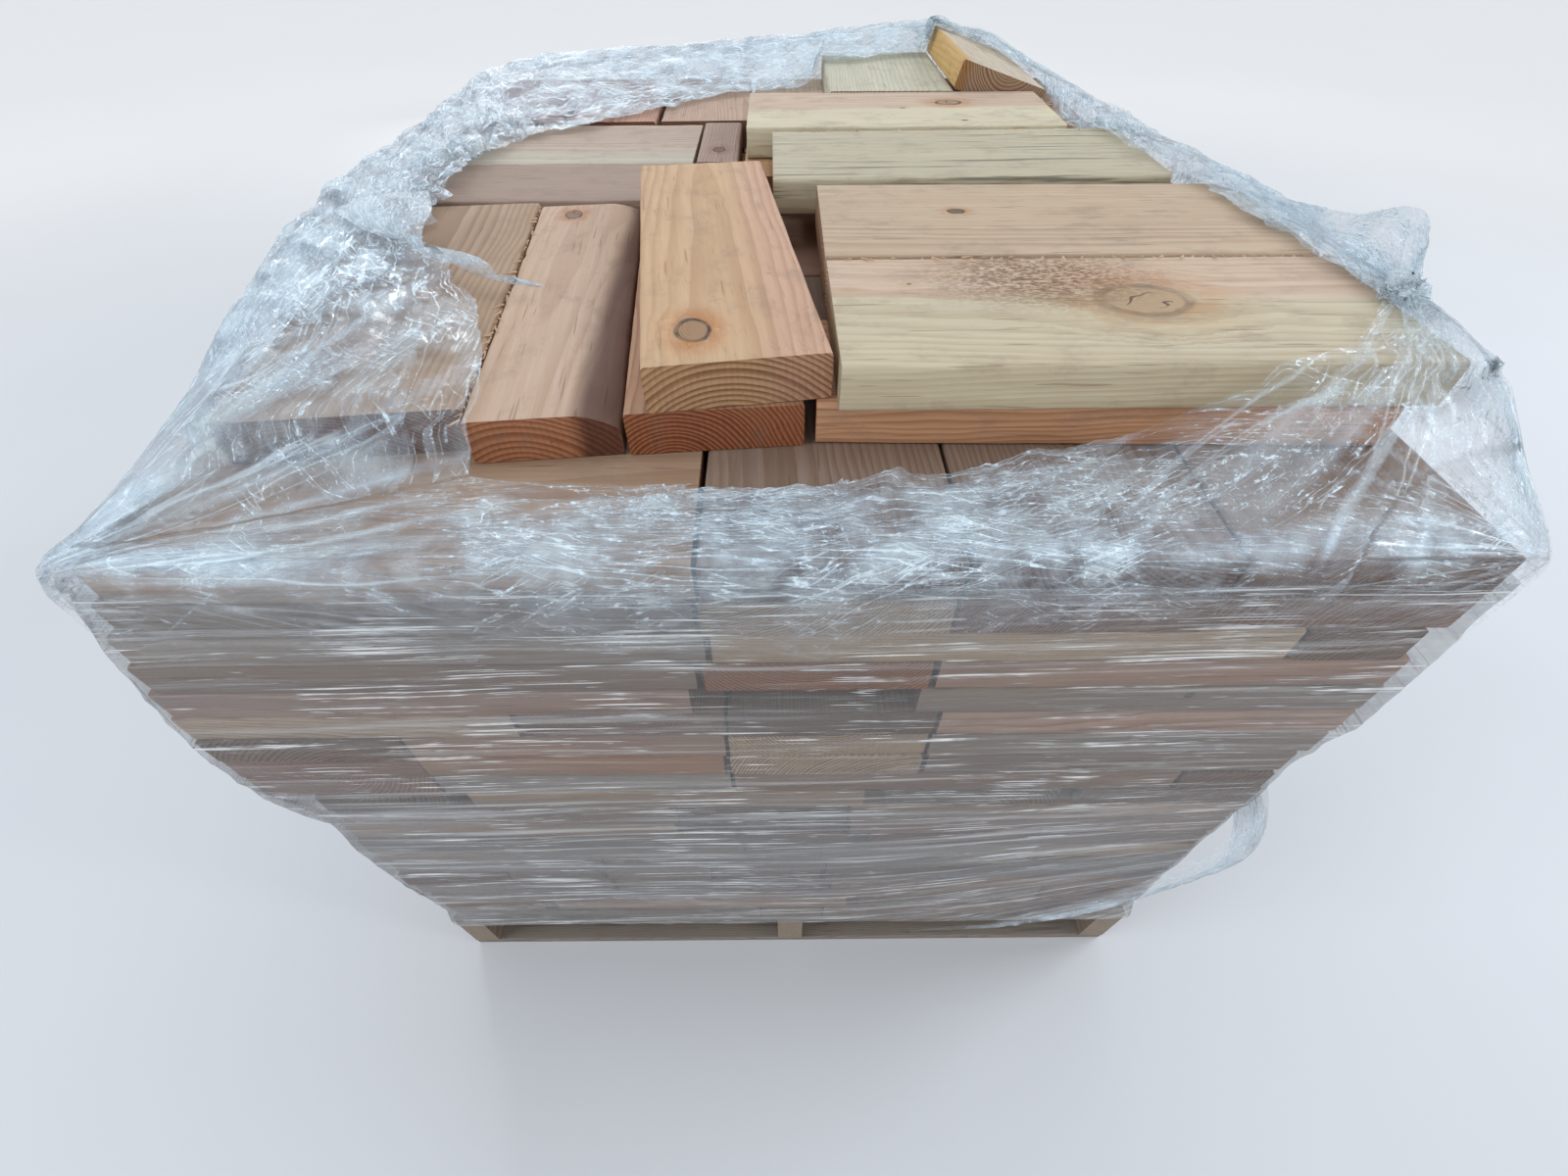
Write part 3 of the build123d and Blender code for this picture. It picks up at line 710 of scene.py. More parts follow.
filmWrap = {
    "hem": 0.103, "top": 0.868, "rowStep": 0.0075, "columns": 620, "gap": 0.003, "slope": 0.20,
    "bulgeLeft": [(0.10, -0.486), (0.148, -0.488), (0.346, -0.520), (0.506, -0.512), (0.576, -0.558),
                  (0.655, -0.553), (0.790, -0.531), (0.868, -0.500), (0.93, -0.490)],
    "bulgeRight": [(0.10, 0.484), (0.136, 0.488), (0.620, 0.490), (0.665, 0.514), (0.750, 0.513),
                   (0.807, 0.508), (0.868, 0.507), (0.93, 0.500)],
    "bulgeReach": 0.30, "crumple": 0.0016, "drapeReach": 0.12, "overlap": 0.002, "smoothing": 4,
}
filmRim = {
    # outer wall x y, crest x y z, inner edge x y, how bunched, how milky
    "stations": [
        (-0.506, -0.618, -0.492, -0.602, 0.889, -0.240, -0.522, 0.15, 0.30),
        (-0.380, -0.622, -0.378, -0.606, 0.887, -0.140, -0.530, 0.30, 0.42),
        (-0.150, -0.622, -0.150, -0.606, 0.890, -0.040, -0.528, 0.60, 0.58),
        (0.080, -0.622, 0.080, -0.606, 0.890, 0.120, -0.515, 0.60, 0.55),
        (0.270, -0.620, 0.270, -0.604, 0.888, 0.240, -0.504, 0.25, 0.22),
        (0.400, -0.620, 0.400, -0.602, 0.889, 0.335, -0.494, 0.10, 0.10),
        (0.509, -0.612, 0.500, -0.598, 0.893, 0.405, -0.470, 0.08, 0.12),
        (0.511, -0.555, 0.502, -0.548, 0.920, 0.448, -0.428, 0.10, 0.20),
        (0.512, -0.505, 0.504, -0.500, 0.950, 0.462, -0.408, 0.10, 0.28),
        (0.512, -0.440, 0.505, -0.436, 0.964, 0.474, -0.390, 0.12, 0.45),
        (0.510, -0.380, 0.504, -0.372, 0.964, 0.476, -0.372, 0.12, 0.65),
        (0.510, -0.260, 0.503, -0.250, 0.964, 0.466, -0.247, 0.70, 0.55),
        (0.510, -0.080, 0.502, -0.075, 0.960, 0.436, -0.078, 0.60, 0.55),
        (0.510, 0.110, 0.500, 0.110, 0.946, 0.392, 0.115, 0.70, 0.55),
        (0.510, 0.300, 0.498, 0.300, 0.938, 0.420, 0.290, 0.70, 0.55),
        (0.510, 0.460, 0.498, 0.455, 0.928, 0.400, 0.430, 0.60, 0.55),
        (0.502, 0.612, 0.470, 0.598, 0.935, 0.345, 0.530, 0.60, 0.55),
        (0.380, 0.618, 0.370, 0.604, 0.978, 0.310, 0.575, 0.60, 0.60),
        (0.250, 0.618, 0.250, 0.604, 0.996, 0.220, 0.560, 0.60, 0.60),
        (0.110, 0.618, 0.110, 0.604, 0.986, 0.080, 0.500, 0.60, 0.65),
        (-0.070, 0.618, -0.070, 0.604, 0.972, -0.075, 0.480, 0.60, 0.70),
        (-0.280, 0.618, -0.280, 0.604, 0.964, -0.210, 0.370, 0.70, 0.75),
        (-0.420, 0.618, -0.420, 0.600, 0.955, -0.300, 0.270, 0.80, 0.80),
        (-0.506, 0.600, -0.492, 0.585, 0.945, -0.350, 0.250, 0.85, 0.85),
        (-0.510, 0.440, -0.500, 0.440, 0.950, -0.385, 0.200, 1.00, 0.95),
        (-0.512, 0.210, -0.500, 0.210, 0.950, -0.418, 0.090, 1.00, 0.95),
        (-0.512, -0.020, -0.500, -0.020, 0.953, -0.405, -0.060, 1.00, 1.00),
        (-0.512, -0.190, -0.500, -0.190, 0.947, -0.395, -0.170, 1.00, 1.00),
        (-0.512, -0.330, -0.500, -0.330, 0.925, -0.345, -0.230, 0.80, 0.90),
        (-0.512, -0.430, -0.500, -0.430, 0.900, -0.290, -0.310, 0.45, 0.55),
        (-0.511, -0.510, -0.500, -0.510, 0.890, -0.262, -0.385, 0.25, 0.35),
        (-0.510, -0.570, -0.499, -0.565, 0.888, -0.238, -0.480, 0.18, 0.30),
    ],
    # height of the free edge that climbs to the knot, by place across the front
    "lift": [(0.0, 0.0), (0.12, 0.884), (0.240, 0.908), (0.335, 0.944), (0.405, 0.964), (0.6, 0.966)],
    # where the film is pulled together: place, reach, depth of the folds, how much height counts
    "pulls": [((0.500, -0.378, 0.962), 0.42, 0.009, 1.0), ((-0.506, -0.618, 0.885), 0.36, 0.007, 0.8),
              ((0.509, -0.612, 0.888), 0.20, 0.005, 0.6)],
    "skirt": 0.800, "columns": 1150, "rows": 74, "crumple": 0.013, "gap": 0.004, "innerGap": 0.006,
    "leastGap": 0.0025, "tentPasses": 18,
    # where skirt, shoulder, crest, middle and inner edge lie, as shares of the way in
    "knots": [0.0, 0.26, 0.36, 0.68, 1.0],
}


def hullOf(points):
    ordered = sorted(set(map(tuple, np.round(points, 5))))

    def oneSide(sequence):
        kept = []
        for p in sequence:
            while len(kept) > 1 and ((kept[-1][0] - kept[-2][0]) * (p[1] - kept[-2][1])
                                     - (kept[-1][1] - kept[-2][1]) * (p[0] - kept[-2][0])) <= 0:
                kept.pop()
            kept.append(p)
        return kept[:-1]

    return np.array(oneSide(ordered) + oneSide(ordered[::-1]))


def hullReach(hull, directions):
    ahead = np.roll(hull, -1, 0)
    edge = ahead - hull
    normal = np.stack([edge[:, 1], -edge[:, 0]], 1)
    normal /= np.linalg.norm(normal, axis=1)[:, None]
    offset = (normal * hull).sum(1)
    facing = directions @ normal.T
    reach = np.where(facing > 1e-6, offset[None] / np.maximum(facing, 1e-6), 1e9)
    return reach.min(1)


def footprint(block):
    across, grain = block["axes"][:, 0] * block["half"][0], block["axes"][:, 2] * block["half"][2]
    return [(block["centre"] + a * across + g * grain)[:2] for a in (-1, 1) for g in (-1, 1)]


def latticeNoise(points, seed):
    base = np.floor(points).astype(np.int64)
    part = points - base
    part = part * part * (3 - 2 * part)
    total = 0.0
    for corner in range(8):
        step = np.array([corner & 1, corner >> 1 & 1, corner >> 2 & 1])
        cell = base + step
        mixed = (cell[:, 0] * 73856093) ^ (cell[:, 1] * 19349663) ^ (cell[:, 2] * 83492791)
        mixed = mixed ^ (seed * 2654435761)
        mixed = (mixed ^ (mixed >> 13)) * 1274126177 & 0x7FFFFFFF
        value = ((mixed ^ (mixed >> 16)) & 0xFFFF) / 65535.0
        weight = np.prod(np.where(step == 1, part, 1 - part), axis=1)
        total = total + value * weight
    return total


def creased(points, seed, octaves=4, fade=0.5):
    total, strength, size = 0.0, 1.0, 0.0
    bend = np.stack([latticeNoise(points * 0.6, seed + 90 + k) for k in range(3)], 1) - 0.5
    place = points + bend * 1.3
    for octave in range(octaves):
        total = total + strength * np.abs(latticeNoise(place, seed + octave) * 2 - 1)
        size += strength
        place = place * 2.07 + 11.3
        strength *= fade
    return total / size


def gridFaces(rows, columns, loop):
    last = columns if loop else columns - 1
    index = np.arange(rows * columns).reshape(rows, columns)
    here = index[:-1, :last]
    right = np.roll(index, -1, 1)[:-1, :last]
    return np.stack([here, right, right + columns, here + columns], -1).reshape(-1, 4)


def gridNormals(grid, loop):
    if loop:
        along = np.roll(grid, -1, 1) - np.roll(grid, 1, 1)
    else:
        along = np.gradient(grid, axis=1)
    up = np.gradient(grid, axis=0)
    normal = np.cross(along, up)
    return normal / np.maximum(np.linalg.norm(normal, axis=2), 1e-9)[..., None]


def filmPiece(name, grid, loop, marks, material):
    rows, columns = grid.shape[:2]
    mesh = bpy.data.meshes.new(name)
    mesh.from_pydata(grid.reshape(-1, 3).tolist(), [], gridFaces(rows, columns, loop).tolist())
    for label, values in marks.items():
        isVector = label in ("flow", "fan")
        shape = grid.shape if isVector else grid.shape[:2]
        addAttribute(mesh, label, np.broadcast_to(values, shape), isVector)
    mesh.polygons.foreach_set("use_smooth", [True] * len(mesh.polygons))
    mesh.materials.append(material)
    piece = addObject(name, mesh)
    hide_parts("stretch_film")
    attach(piece, "root")
    return piece


def courseHulls():
    hulls = []
    for node in courseNodes:
        blocks = readBlocks(node)
        low = min(b["centre"][2] - b["half"][1] for b in blocks)
        high = max(b["centre"][2] + b["half"][1] for b in blocks)
        hulls.append((low, high, hullOf(np.array([p for b in blocks for p in footprint(b)]))))
    low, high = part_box("top_deck")
    deck = np.array([(x, y) for x in (low[0], high[0]) for y in (low[1], high[1])])
    hulls.append((low[2], high[2], hullOf(deck)))
    return hulls


def loopPath(columns):
    corner, halfX, halfY = 0.03, 0.50, 0.61
    points = []
    for index, (sx, sy) in enumerate([(-1, -1), (1, -1), (1, 1), (-1, 1)]):
        for k in range(9):
            angle = math.pi + index * math.pi / 2 + k * math.pi / 16
            points.append((sx * (halfX - corner) + corner * math.cos(angle),
                           sy * (halfY - corner) + corner * math.sin(angle)))
    points = np.array(points + points[:1])
    run = np.concatenate([[0], np.cumsum(np.linalg.norm(np.diff(points, axis=0), axis=1))])
    at = np.arange(columns) / columns * run[-1]
    return np.stack([np.interp(at, run, points[:, k]) for k in range(2)], 1), at


def wrapReach(levels, directions):
    hulls = courseHulls()
    bare = np.zeros((len(levels), len(directions)))
    for low, high, hull in hulls:
        reach = hullReach(hull, directions)
        inside = (levels > low - filmWrap["overlap"]) & (levels < high + filmWrap["overlap"])
        bare[inside] = np.maximum(bare[inside], reach[None])
    draped = bare.copy()
    step = levels[1] - levels[0]
    for shift in range(1, int(filmWrap["drapeReach"] / step)):
        drop = filmWrap["slope"] * shift * step
        draped[shift:] = np.maximum(draped[shift:], bare[:-shift] - drop)
        draped[:-shift] = np.maximum(draped[:-shift], bare[shift:] - drop)
    for _ in range(filmWrap["smoothing"]):
        padded = np.concatenate([draped[:1], draped, draped[-1:]])
        draped = (padded[:-2] + 2 * padded[1:-1] + padded[2:]) / 4
    return np.maximum(draped, bare) + filmWrap["gap"]


def makeWrap(material):
    path, at = loopPath(filmWrap["columns"])
    length = np.linalg.norm(path, axis=1)
    directions = path / length[:, None]
    levels = np.arange(filmWrap["hem"], filmWrap["top"], filmWrap["rowStep"])
    reach = wrapReach(levels, directions)
    xy = directions[None] * reach[..., None]
    grid = np.concatenate([xy, np.broadcast_to(levels[:, None, None], reach.shape + (1,))], 2)
    # loose film stands off the front corners
    near = np.exp(-((grid[..., 1] + 0.612) / filmWrap["bulgeReach"]) ** 2)
    for label, sign in (("bulgeLeft", -1), ("bulgeRight", 1)):
        table = np.array(filmWrap[label])
        edge = np.interp(grid[..., 2], table[:, 0], table[:, 1])
        beyond = np.maximum(sign * edge - sign * grid[..., 0], 0) * near
        side = np.clip((sign * grid[..., 0] - 0.36) / 0.12, 0, 1) ** 2
        grid[..., 0] += sign * beyond * side
    flat = grid.reshape(-1, 3)
    lines = creased(flat * (3.0, 3.0, 42.0), 3).reshape(reach.shape) - 0.3
    swell = latticeNoise(flat * (4.0, 4.0, 9.0), 21).reshape(reach.shape)
    normal = gridNormals(grid, True)
    grid = grid + normal * (np.maximum(lines, 0) * filmWrap["crumple"] * 2 + swell * 0.002)[..., None]
    # ragged hem, a little higher towards the right
    low = np.clip(1 - (levels - levels[0]) / 0.06, 0, 1)[:, None]
    ragged = creased(np.stack([at * 9, at * 0, at * 0], 1), 8) * 0.014
    ragged = ragged + 0.012 * np.clip(path[:, 0] + 0.2, 0, 1)
    grid[..., 2] += low * ragged[None]
    flow = stacked(at[None], grid[..., 2], 0.0 * reach)
    milky = 0.34 + 0.16 * latticeNoise(flat * (2.0, 2.0, 14.0), 31).reshape(reach.shape)
    milky *= np.interp(grid[..., 2], (0.02, 0.03, 0.25, 0.50, 0.62), (0.6, 1.45, 1.45, 1.2, 1.0))
    marks = {"flow": flow, "fan": flow, "milky": milky, "tight": 1.0, "crease": 0.0}
    return filmPiece("film_wrap", grid, True, marks, material)


def topHeights(margin):
    cell, halfX, halfY = 0.004, 0.60, 0.70
    xs, ys = np.arange(-halfX, halfX, cell), np.arange(-halfY, halfY, cell)
    gx, gy = np.meshgrid(xs, ys, indexing="ij")
    height = np.full(gx.shape, 0.80)
    for node in ["course_20"] + looseNodes:
        for block in readBlocks(node):
            axes, half, centre = block["axes"], block["half"] + margin, block["centre"]
            dx, dy = gx - centre[0], gy - centre[1]
            up = axes[:, 1]
            top = (block["half"][1] - dx * up[0] - dy * up[1]) / up[2]
            across = dx * axes[0, 0] + dy * axes[1, 0] + top * axes[2, 0]
            along = dx * axes[0, 2] + dy * axes[1, 2] + top * axes[2, 2]
            inside = (np.abs(across) < half[0]) & (np.abs(along) < half[2])
            height = np.where(inside, np.maximum(height, centre[2] + top), height)
    return xs, ys, height


def sampleHeights(table, x, y):
    xs, ys, height = table
    fx = np.clip((x - xs[0]) / (xs[1] - xs[0]), 0, len(xs) - 1.001)
    fy = np.clip((y - ys[0]) / (ys[1] - ys[0]), 0, len(ys) - 1.001)
    ix, iy = fx.astype(int), fy.astype(int)
    fx, fy = fx - ix, fy - iy
    return (height[ix, iy] * (1 - fx) * (1 - fy) + height[ix + 1, iy] * fx * (1 - fy)
            + height[ix, iy + 1] * (1 - fx) * fy + height[ix + 1, iy + 1] * fx * fy)


def blurred(height, passes):
    for _ in range(passes):
        for axis in (0, 1):
            height = (np.roll(height, 1, axis) + 2 * height + np.roll(height, -1, axis)) / 4
    return height


def spline(a, b, c, d, t):
    square = (2 * a - 5 * b + 4 * c - d) * t ** 2
    return 0.5 * (2 * b + (c - a) * t + square + (3 * b - a - 3 * c + d) * t ** 3)


def smoothLoop(values, count):
    values = np.asarray(values, float)
    total = len(values)
    gaps = np.linalg.norm(np.roll(values[:, :2], -1, 0) - values[:, :2], axis=1)
    run = np.concatenate([[0], np.cumsum(gaps)])
    at = np.arange(count) / count * run[-1]
    k = np.clip(np.searchsorted(run, at, side="right") - 1, 0, total - 1)
    t = ((at - run[k]) / np.maximum(run[k + 1] - run[k], 1e-9))[:, None]
    a, b, c, d = (values[(k + j) % total] for j in (-1, 0, 1, 2))
    return 0.5 * spline(a, b, c, d, t) + 0.5 * (b + (c - b) * t), at


def pullFolds(grid, normal, seed):
    crease = np.zeros(grid.shape[:2])
    fan = np.zeros(grid.shape)
    nearest = np.full(grid.shape[:2], 9.0)
    for centre, reach, depth, tilt in filmRim["pulls"]:
        away = grid - np.array(centre)
        far = np.linalg.norm(away, axis=2)
        angle = np.arctan2(away[..., 1] + tilt * away[..., 2], away[..., 0])
        places = np.stack([angle * 3.6 + 20.0, far * 2.0, np.full(far.shape, float(seed))], -1).reshape(-1, 3)
        ridge = np.abs(latticeNoise(places, seed + 70) * 2 - 1).reshape(far.shape)
        weight = np.clip(1 - far / reach, 0, 1) * np.clip(far / 0.03, 0, 1)
        grid = grid + normal * ((ridge - 0.35) * depth * np.sqrt(weight))[..., None]
        crease = np.maximum(crease, np.clip(1 - ridge / 0.16, 0, 1) * np.clip(weight * 2.2, 0, 1))
        closer = far / reach < nearest
        nearest = np.where(closer, far / reach, nearest)
        fan[closer] = np.stack([far, angle * 0.12, np.clip(weight * 2.0, 0, 1)], -1)[closer]
    return grid, fan, crease


def makeRim(name, material, seed, spread, share, milkyShare, lower):
    columns, rows = filmRim["columns"], filmRim["rows"]
    track, at = smoothLoop(filmRim["stations"], columns)
    wave = creased(np.stack([at * 14, at * 0 + seed, at * 0], 1), seed + 5) - 0.3
    outer, crest, inner = track[:, 0:2], track[:, 2:5], track[:, 5:7]
    bunch, milk = track[:, 7], track[:, 8]
    inward = inner - crest[:, :2]
    distance = np.linalg.norm(inward, axis=1)[:, None]
    frill = inward / np.maximum(distance, 1e-6) * (wave * 0.05)[:, None] * np.clip(bunch, 0.15, 1)[:, None]
    inner = crest[:, :2] + inward * share - frill
    tall = topHeights(margin=0.010)
    tent = (tall[0], tall[1], np.maximum(blurred(tall[2], filmRim["tentPasses"]), tall[2]))
    skirtLevel = filmRim["skirt"] + 0.035 * wave + lower
    skirt = np.concatenate([outer, skirtLevel[:, None]], 1)
    shoulder = np.concatenate([outer * 0.5 + crest[:, :2] * 0.5 + (outer - crest[:, :2]) * 0.35,
                               crest[:, 2:3] - 0.012], 1)
    lifts = np.array(filmRim["lift"])
    lift = np.interp(inner[:, 0], lifts[:, 0], lifts[:, 1]) * (inner[:, 1] < -0.44) * (inner[:, 0] > 0)
    innerZ = np.maximum(sampleHeights(tent, inner[:, 0], inner[:, 1]) + filmRim["innerGap"], lift)
    innerPoint = np.concatenate([inner, innerZ[:, None]], 1)
    middle = crest * 0.5 + innerPoint * 0.5
    middleFloor = sampleHeights(tent, middle[:, 0], middle[:, 1]) + filmRim["innerGap"]
    middle[:, 2] = np.maximum(middle[:, 2], middleFloor)
    control = np.stack([skirt, shoulder, crest, middle, innerPoint])
    knots = np.array(filmRim["knots"])
    t = np.linspace(0, 1, rows)
    k = np.clip(np.searchsorted(knots, t, side="right") - 1, 0, 3)
    between = ((t - knots[k]) / (knots[k + 1] - knots[k]))[:, None, None]
    a, b, c, d = (control[np.clip(k + j, 0, 4)] for j in (-1, 0, 1, 2))
    grid = 0.6 * spline(a, b, c, d, between) + 0.4 * (b + (c - b) * between)
    over = np.clip((t - 0.30) / 0.15, 0, 1)[:, None]
    floorLevel = sampleHeights(tent, grid[..., 0], grid[..., 1]) + filmRim["gap"]
    grid[..., 2] = grid[..., 2] * (1 - over) + np.maximum(grid[..., 2], floorLevel) * over
    normal = gridNormals(grid, True)
    flat = grid.reshape(-1, 3)
    sheetPlace = stacked(at[None] * 9.0, t[:, None] * 7.0, 0 * grid[..., 0]).reshape(-1, 3)
    lean = latticeNoise(flat * 3.0 + seed, seed + 44) * 2.4 - 1.2
    sheetPlace[:, 0] += lean
    broad, fine = creased(sheetPlace + seed, seed, 3, 0.55), creased(flat * 17.0 + seed, seed + 3, 4, 0.6)
    rough = (0.6 * broad + 0.4 * fine).reshape(grid.shape[:2])
    lumps = latticeNoise(flat * 9.0 + seed, seed + 40).reshape(grid.shape[:2])
    strength = (0.15 + bunch)[None] * (0.25 + 0.75 * np.clip((t - 0.12) / 0.2, 0, 1))[:, None]
    grid = grid + normal * ((rough - 0.25) * filmRim["crumple"] * 1.6 * strength
                            + (lumps - 0.35) * spread * strength)[..., None]
    slide = creased(flat * 19.0 + seed + 7, seed + 60, 3).reshape(grid.shape[:2]) - 0.4
    along = np.roll(grid, -1, 1) - grid
    along /= np.maximum(np.linalg.norm(along, axis=2), 1e-9)[..., None]
    grid = grid + along * (slide * 0.012 * strength)[..., None]
    grid, fan, crease = pullFolds(grid, normal, seed)
    hard = topHeights(margin=0.004)
    least = sampleHeights(hard, grid[..., 0], grid[..., 1]) + filmRim["leastGap"]
    grid[..., 2] = np.where(t[:, None] > knots[2], np.maximum(grid[..., 2], least), grid[..., 2])
    flow = stacked(at[None], t[:, None] * 0.3, float(seed) + 0 * rough)
    milky = milk[None] * milkyShare * (0.75 + 0.5 * rough)
    milky = milky * np.clip(np.clip(t / 0.30, 0, 1)[:, None] ** 1.5 + 0.5 * bunch[None] - 0.1, 0.1, 1)
    milky = milky + 0.42 * np.exp(-((t - 0.38) / 0.09) ** 2)[:, None] * (1 - np.clip(bunch * 1.5, 0, 1))[None]
    tight = np.clip(1 - t / 0.30, 0, 1)[:, None] * (1 - 0.5 * bunch)[None]
    marks = {"flow": flow, "fan": fan, "milky": milky, "tight": tight, "crease": crease}
    return filmPiece(name, grid, True, marks, material)


# Loose ends of the film: a lobe at the lower right, a twisted end on top, a flap above the knot

filmEnds = {
    # the lobe: places along its length (x, y of the wall, low and high edge), and how far it stands off
    "lobe": [(0.180, -0.6235, 0.098, 0.104), (0.290, -0.6245, 0.118, 0.136), (0.380, -0.625, 0.165, 0.198),
             (0.440, -0.626, 0.235, 0.286), (0.478, -0.626, 0.315, 0.380), (0.508, -0.622, 0.385, 0.470),
             (0.518, -0.580, 0.440, 0.530), (0.518, -0.500, 0.490, 0.560), (0.517, -0.400, 0.520, 0.560)],
    "lobeStand": 0.036,
    # the twist: points along it and its half width
    "twist": [(-0.440, -0.120, 0.950, 0.050), (-0.392, -0.190, 0.946, 0.036), (-0.345, -0.245, 0.940, 0.021),
              (-0.300, -0.266, 0.935, 0.012), (-0.262, -0.282, 0.930, 0.0065),
              (-0.232, -0.288, 0.929, 0.002)],
    "twistTurns": 2.3,
    # the flap: foot and tip points from the back to the front
    "flap": [
        ((0.490, -0.130, 0.958), (0.504, -0.150, 0.962)), ((0.490, -0.200, 0.960), (0.508, -0.215, 0.974)),
        ((0.492, -0.260, 0.961), (0.513, -0.275, 0.985)), ((0.494, -0.315, 0.962), (0.519, -0.329, 1.006)),
        ((0.497, -0.352, 0.963), (0.515, -0.362, 0.985)), ((0.499, -0.378, 0.963), (0.505, -0.386, 0.968)),
    ],
    # the knot: its middle and its radius
    "knot": ((0.499, -0.380, 0.964), 0.013),
    # rows and columns of each mesh
    "grids": {"lobe": (90, 200), "twist": (22, 150), "flap": (40, 150), "knot": (26, 49)},
}


def smoothTrack(points, count):
    points = np.asarray(points, float)
    total = len(points)
    at = np.linspace(0, total - 1.0001, count)
    k = at.astype(int)
    t = (at - k)[:, None]
    a, b, c, d = (points[np.clip(k + j, 0, total - 1)] for j in (-1, 0, 1, 2))
    return spline(a, b, c, d, t)


def loosePiece(name, grid, material, seed, crumple, milky, tight=0.0, whiteAndSheen=0.0):
    flat = grid.reshape(-1, 3)
    normal = gridNormals(grid, False)
    rough = creased(flat * 24.0 + seed, seed, 4, 0.55).reshape(grid.shape[:2])
    grid = grid + normal * ((rough - 0.3) * crumple)[..., None]
    grid, fan, crease = pullFolds(grid, normal, seed)
    # the extra crease whiteness of the knot, twist and flap is partly the white of bunched film and partly
    # painted light that lifts their own shade
    crease = np.maximum(crease, whiteAndSheen)
    across = np.linspace(0, 0.3, grid.shape[0])[:, None]
    run = np.linspace(0, 0.6, grid.shape[1])[None]
    flow = stacked(run, across, float(seed) + 0 * rough)
    marks = {"flow": flow, "fan": fan, "milky": milky * (0.7 + 0.6 * rough), "tight": tight, "crease": crease}
    return filmPiece(name, grid, False, marks, material)


def makeLobe(material):
    rows, columns = filmEnds["grids"]["lobe"]
    track = smoothTrack(filmEnds["lobe"], columns)
    share = np.linspace(0, 1, rows)[:, None]
    height = track[None, :, 2] * (1 - share) + track[None, :, 3] * share
    place = np.arange(columns)[None] / (columns - 1)
    stand = filmEnds["lobeStand"] * np.exp(-((place - 0.56) / 0.20) ** 2) * np.sin(math.pi * share) ** 0.7
    flare = 0.010 * (1 - share) ** 3 * np.sin(place * math.pi)
    x = track[None, :, 0] + stand * 0.95 + flare
    y = track[None, :, 1] - stand * 0.12 - flare * 0.4
    grid = stacked(x, y, height)
    fade = np.clip(place / 0.25, 0.05, 1) * np.clip((1 - share) * 1.6, 0.2, 1)
    return loosePiece("film_lobe", grid, material, seed=51, crumple=0.005, milky=0.72 * fade, tight=0.10)


def makeTwist(material):
    rows, columns = filmEnds["grids"]["twist"]
    track = smoothTrack(filmEnds["twist"], columns)
    centre, width = track[:, :3], track[:, 3]
    forward = np.gradient(centre, axis=0)
    forward /= np.linalg.norm(forward, axis=1)[:, None]
    side = np.cross(forward, (0, 0, 1.0))
    side /= np.linalg.norm(side, axis=1)[:, None]
    rise = np.cross(side, forward)
    turn = np.linspace(0, 1, columns) ** 1.6 * filmEnds["twistTurns"] * 2 * math.pi
    share = np.linspace(-1, 1, rows)[:, None]
    curl = share * 1.9 + turn[None]
    flatness = np.clip(1 - np.linspace(0, 1, columns) * 1.6, 0.05, 1)[None]
    sideAmount = (share * flatness + np.sin(curl) * (1 - flatness) * 0.9) * width[None]
    riseAmount = 0.12 * (1 - share ** 2) * flatness + (0.5 + 0.5 * np.cos(curl)) * (1 - flatness)
    riseAmount = riseAmount * width[None]
    grid = centre[None] + side[None] * sideAmount[..., None] + rise[None] * (riseAmount[..., None] + 0.001)
    hard = topHeights(margin=0.003)
    grid[..., 2] = np.maximum(grid[..., 2], sampleHeights(hard, grid[..., 0], grid[..., 1]) + 0.002)
    return loosePiece("film_twist", grid, material, seed=63, crumple=0.0022, milky=0.50, whiteAndSheen=0.3)


def makeFlap(material):
    rows, columns = filmEnds["grids"]["flap"]
    foot, tip = (smoothTrack([p[k] for p in filmEnds["flap"]], columns) for k in (0, 1))
    share = np.linspace(0, 1, rows)[:, None, None]
    grid = foot[None] * (1 - share) + tip[None] * share
    return loosePiece("film_flap", grid, material, seed=77, crumple=0.010, milky=0.80, whiteAndSheen=0.2)


def makeKnot(material):
    (x, y, z), size = filmEnds["knot"]
    rows, columns = filmEnds["grids"]["knot"]
    around = np.linspace(0, 2 * math.pi, columns)[None]
    down = np.linspace(0.08, math.pi - 0.08, rows)[:, None]
    shape = stacked(np.sin(down) * np.cos(around), np.sin(down) * np.sin(around) * 1.5, -np.cos(down) * 0.8)
    grid = np.array((x, y, z)) + shape * size
    grid[:, -1] = grid[:, 0]
    return loosePiece("film_knot", grid, material, seed=85, crumple=0.0, milky=0.9, whiteAndSheen=0.9)


def creaseLines(place, turn, along, across, width, third=1.0):
    values = {"Vector": place, "Axis": (0, 0, 1), "Angle": turn}
    turned = addNode(place.id_data, "ShaderNodeVectorRotate", values, rotation_type="AXIS_ANGLE").outputs[0]
    wave = stretchNoise(turned, (along, across, third), 2.0, 0.55)
    fold = calc("ABSOLUTE", minus(wave, 0.5))
    return fold, ramp(fold, 0.0, width, 1.0, 0.0)


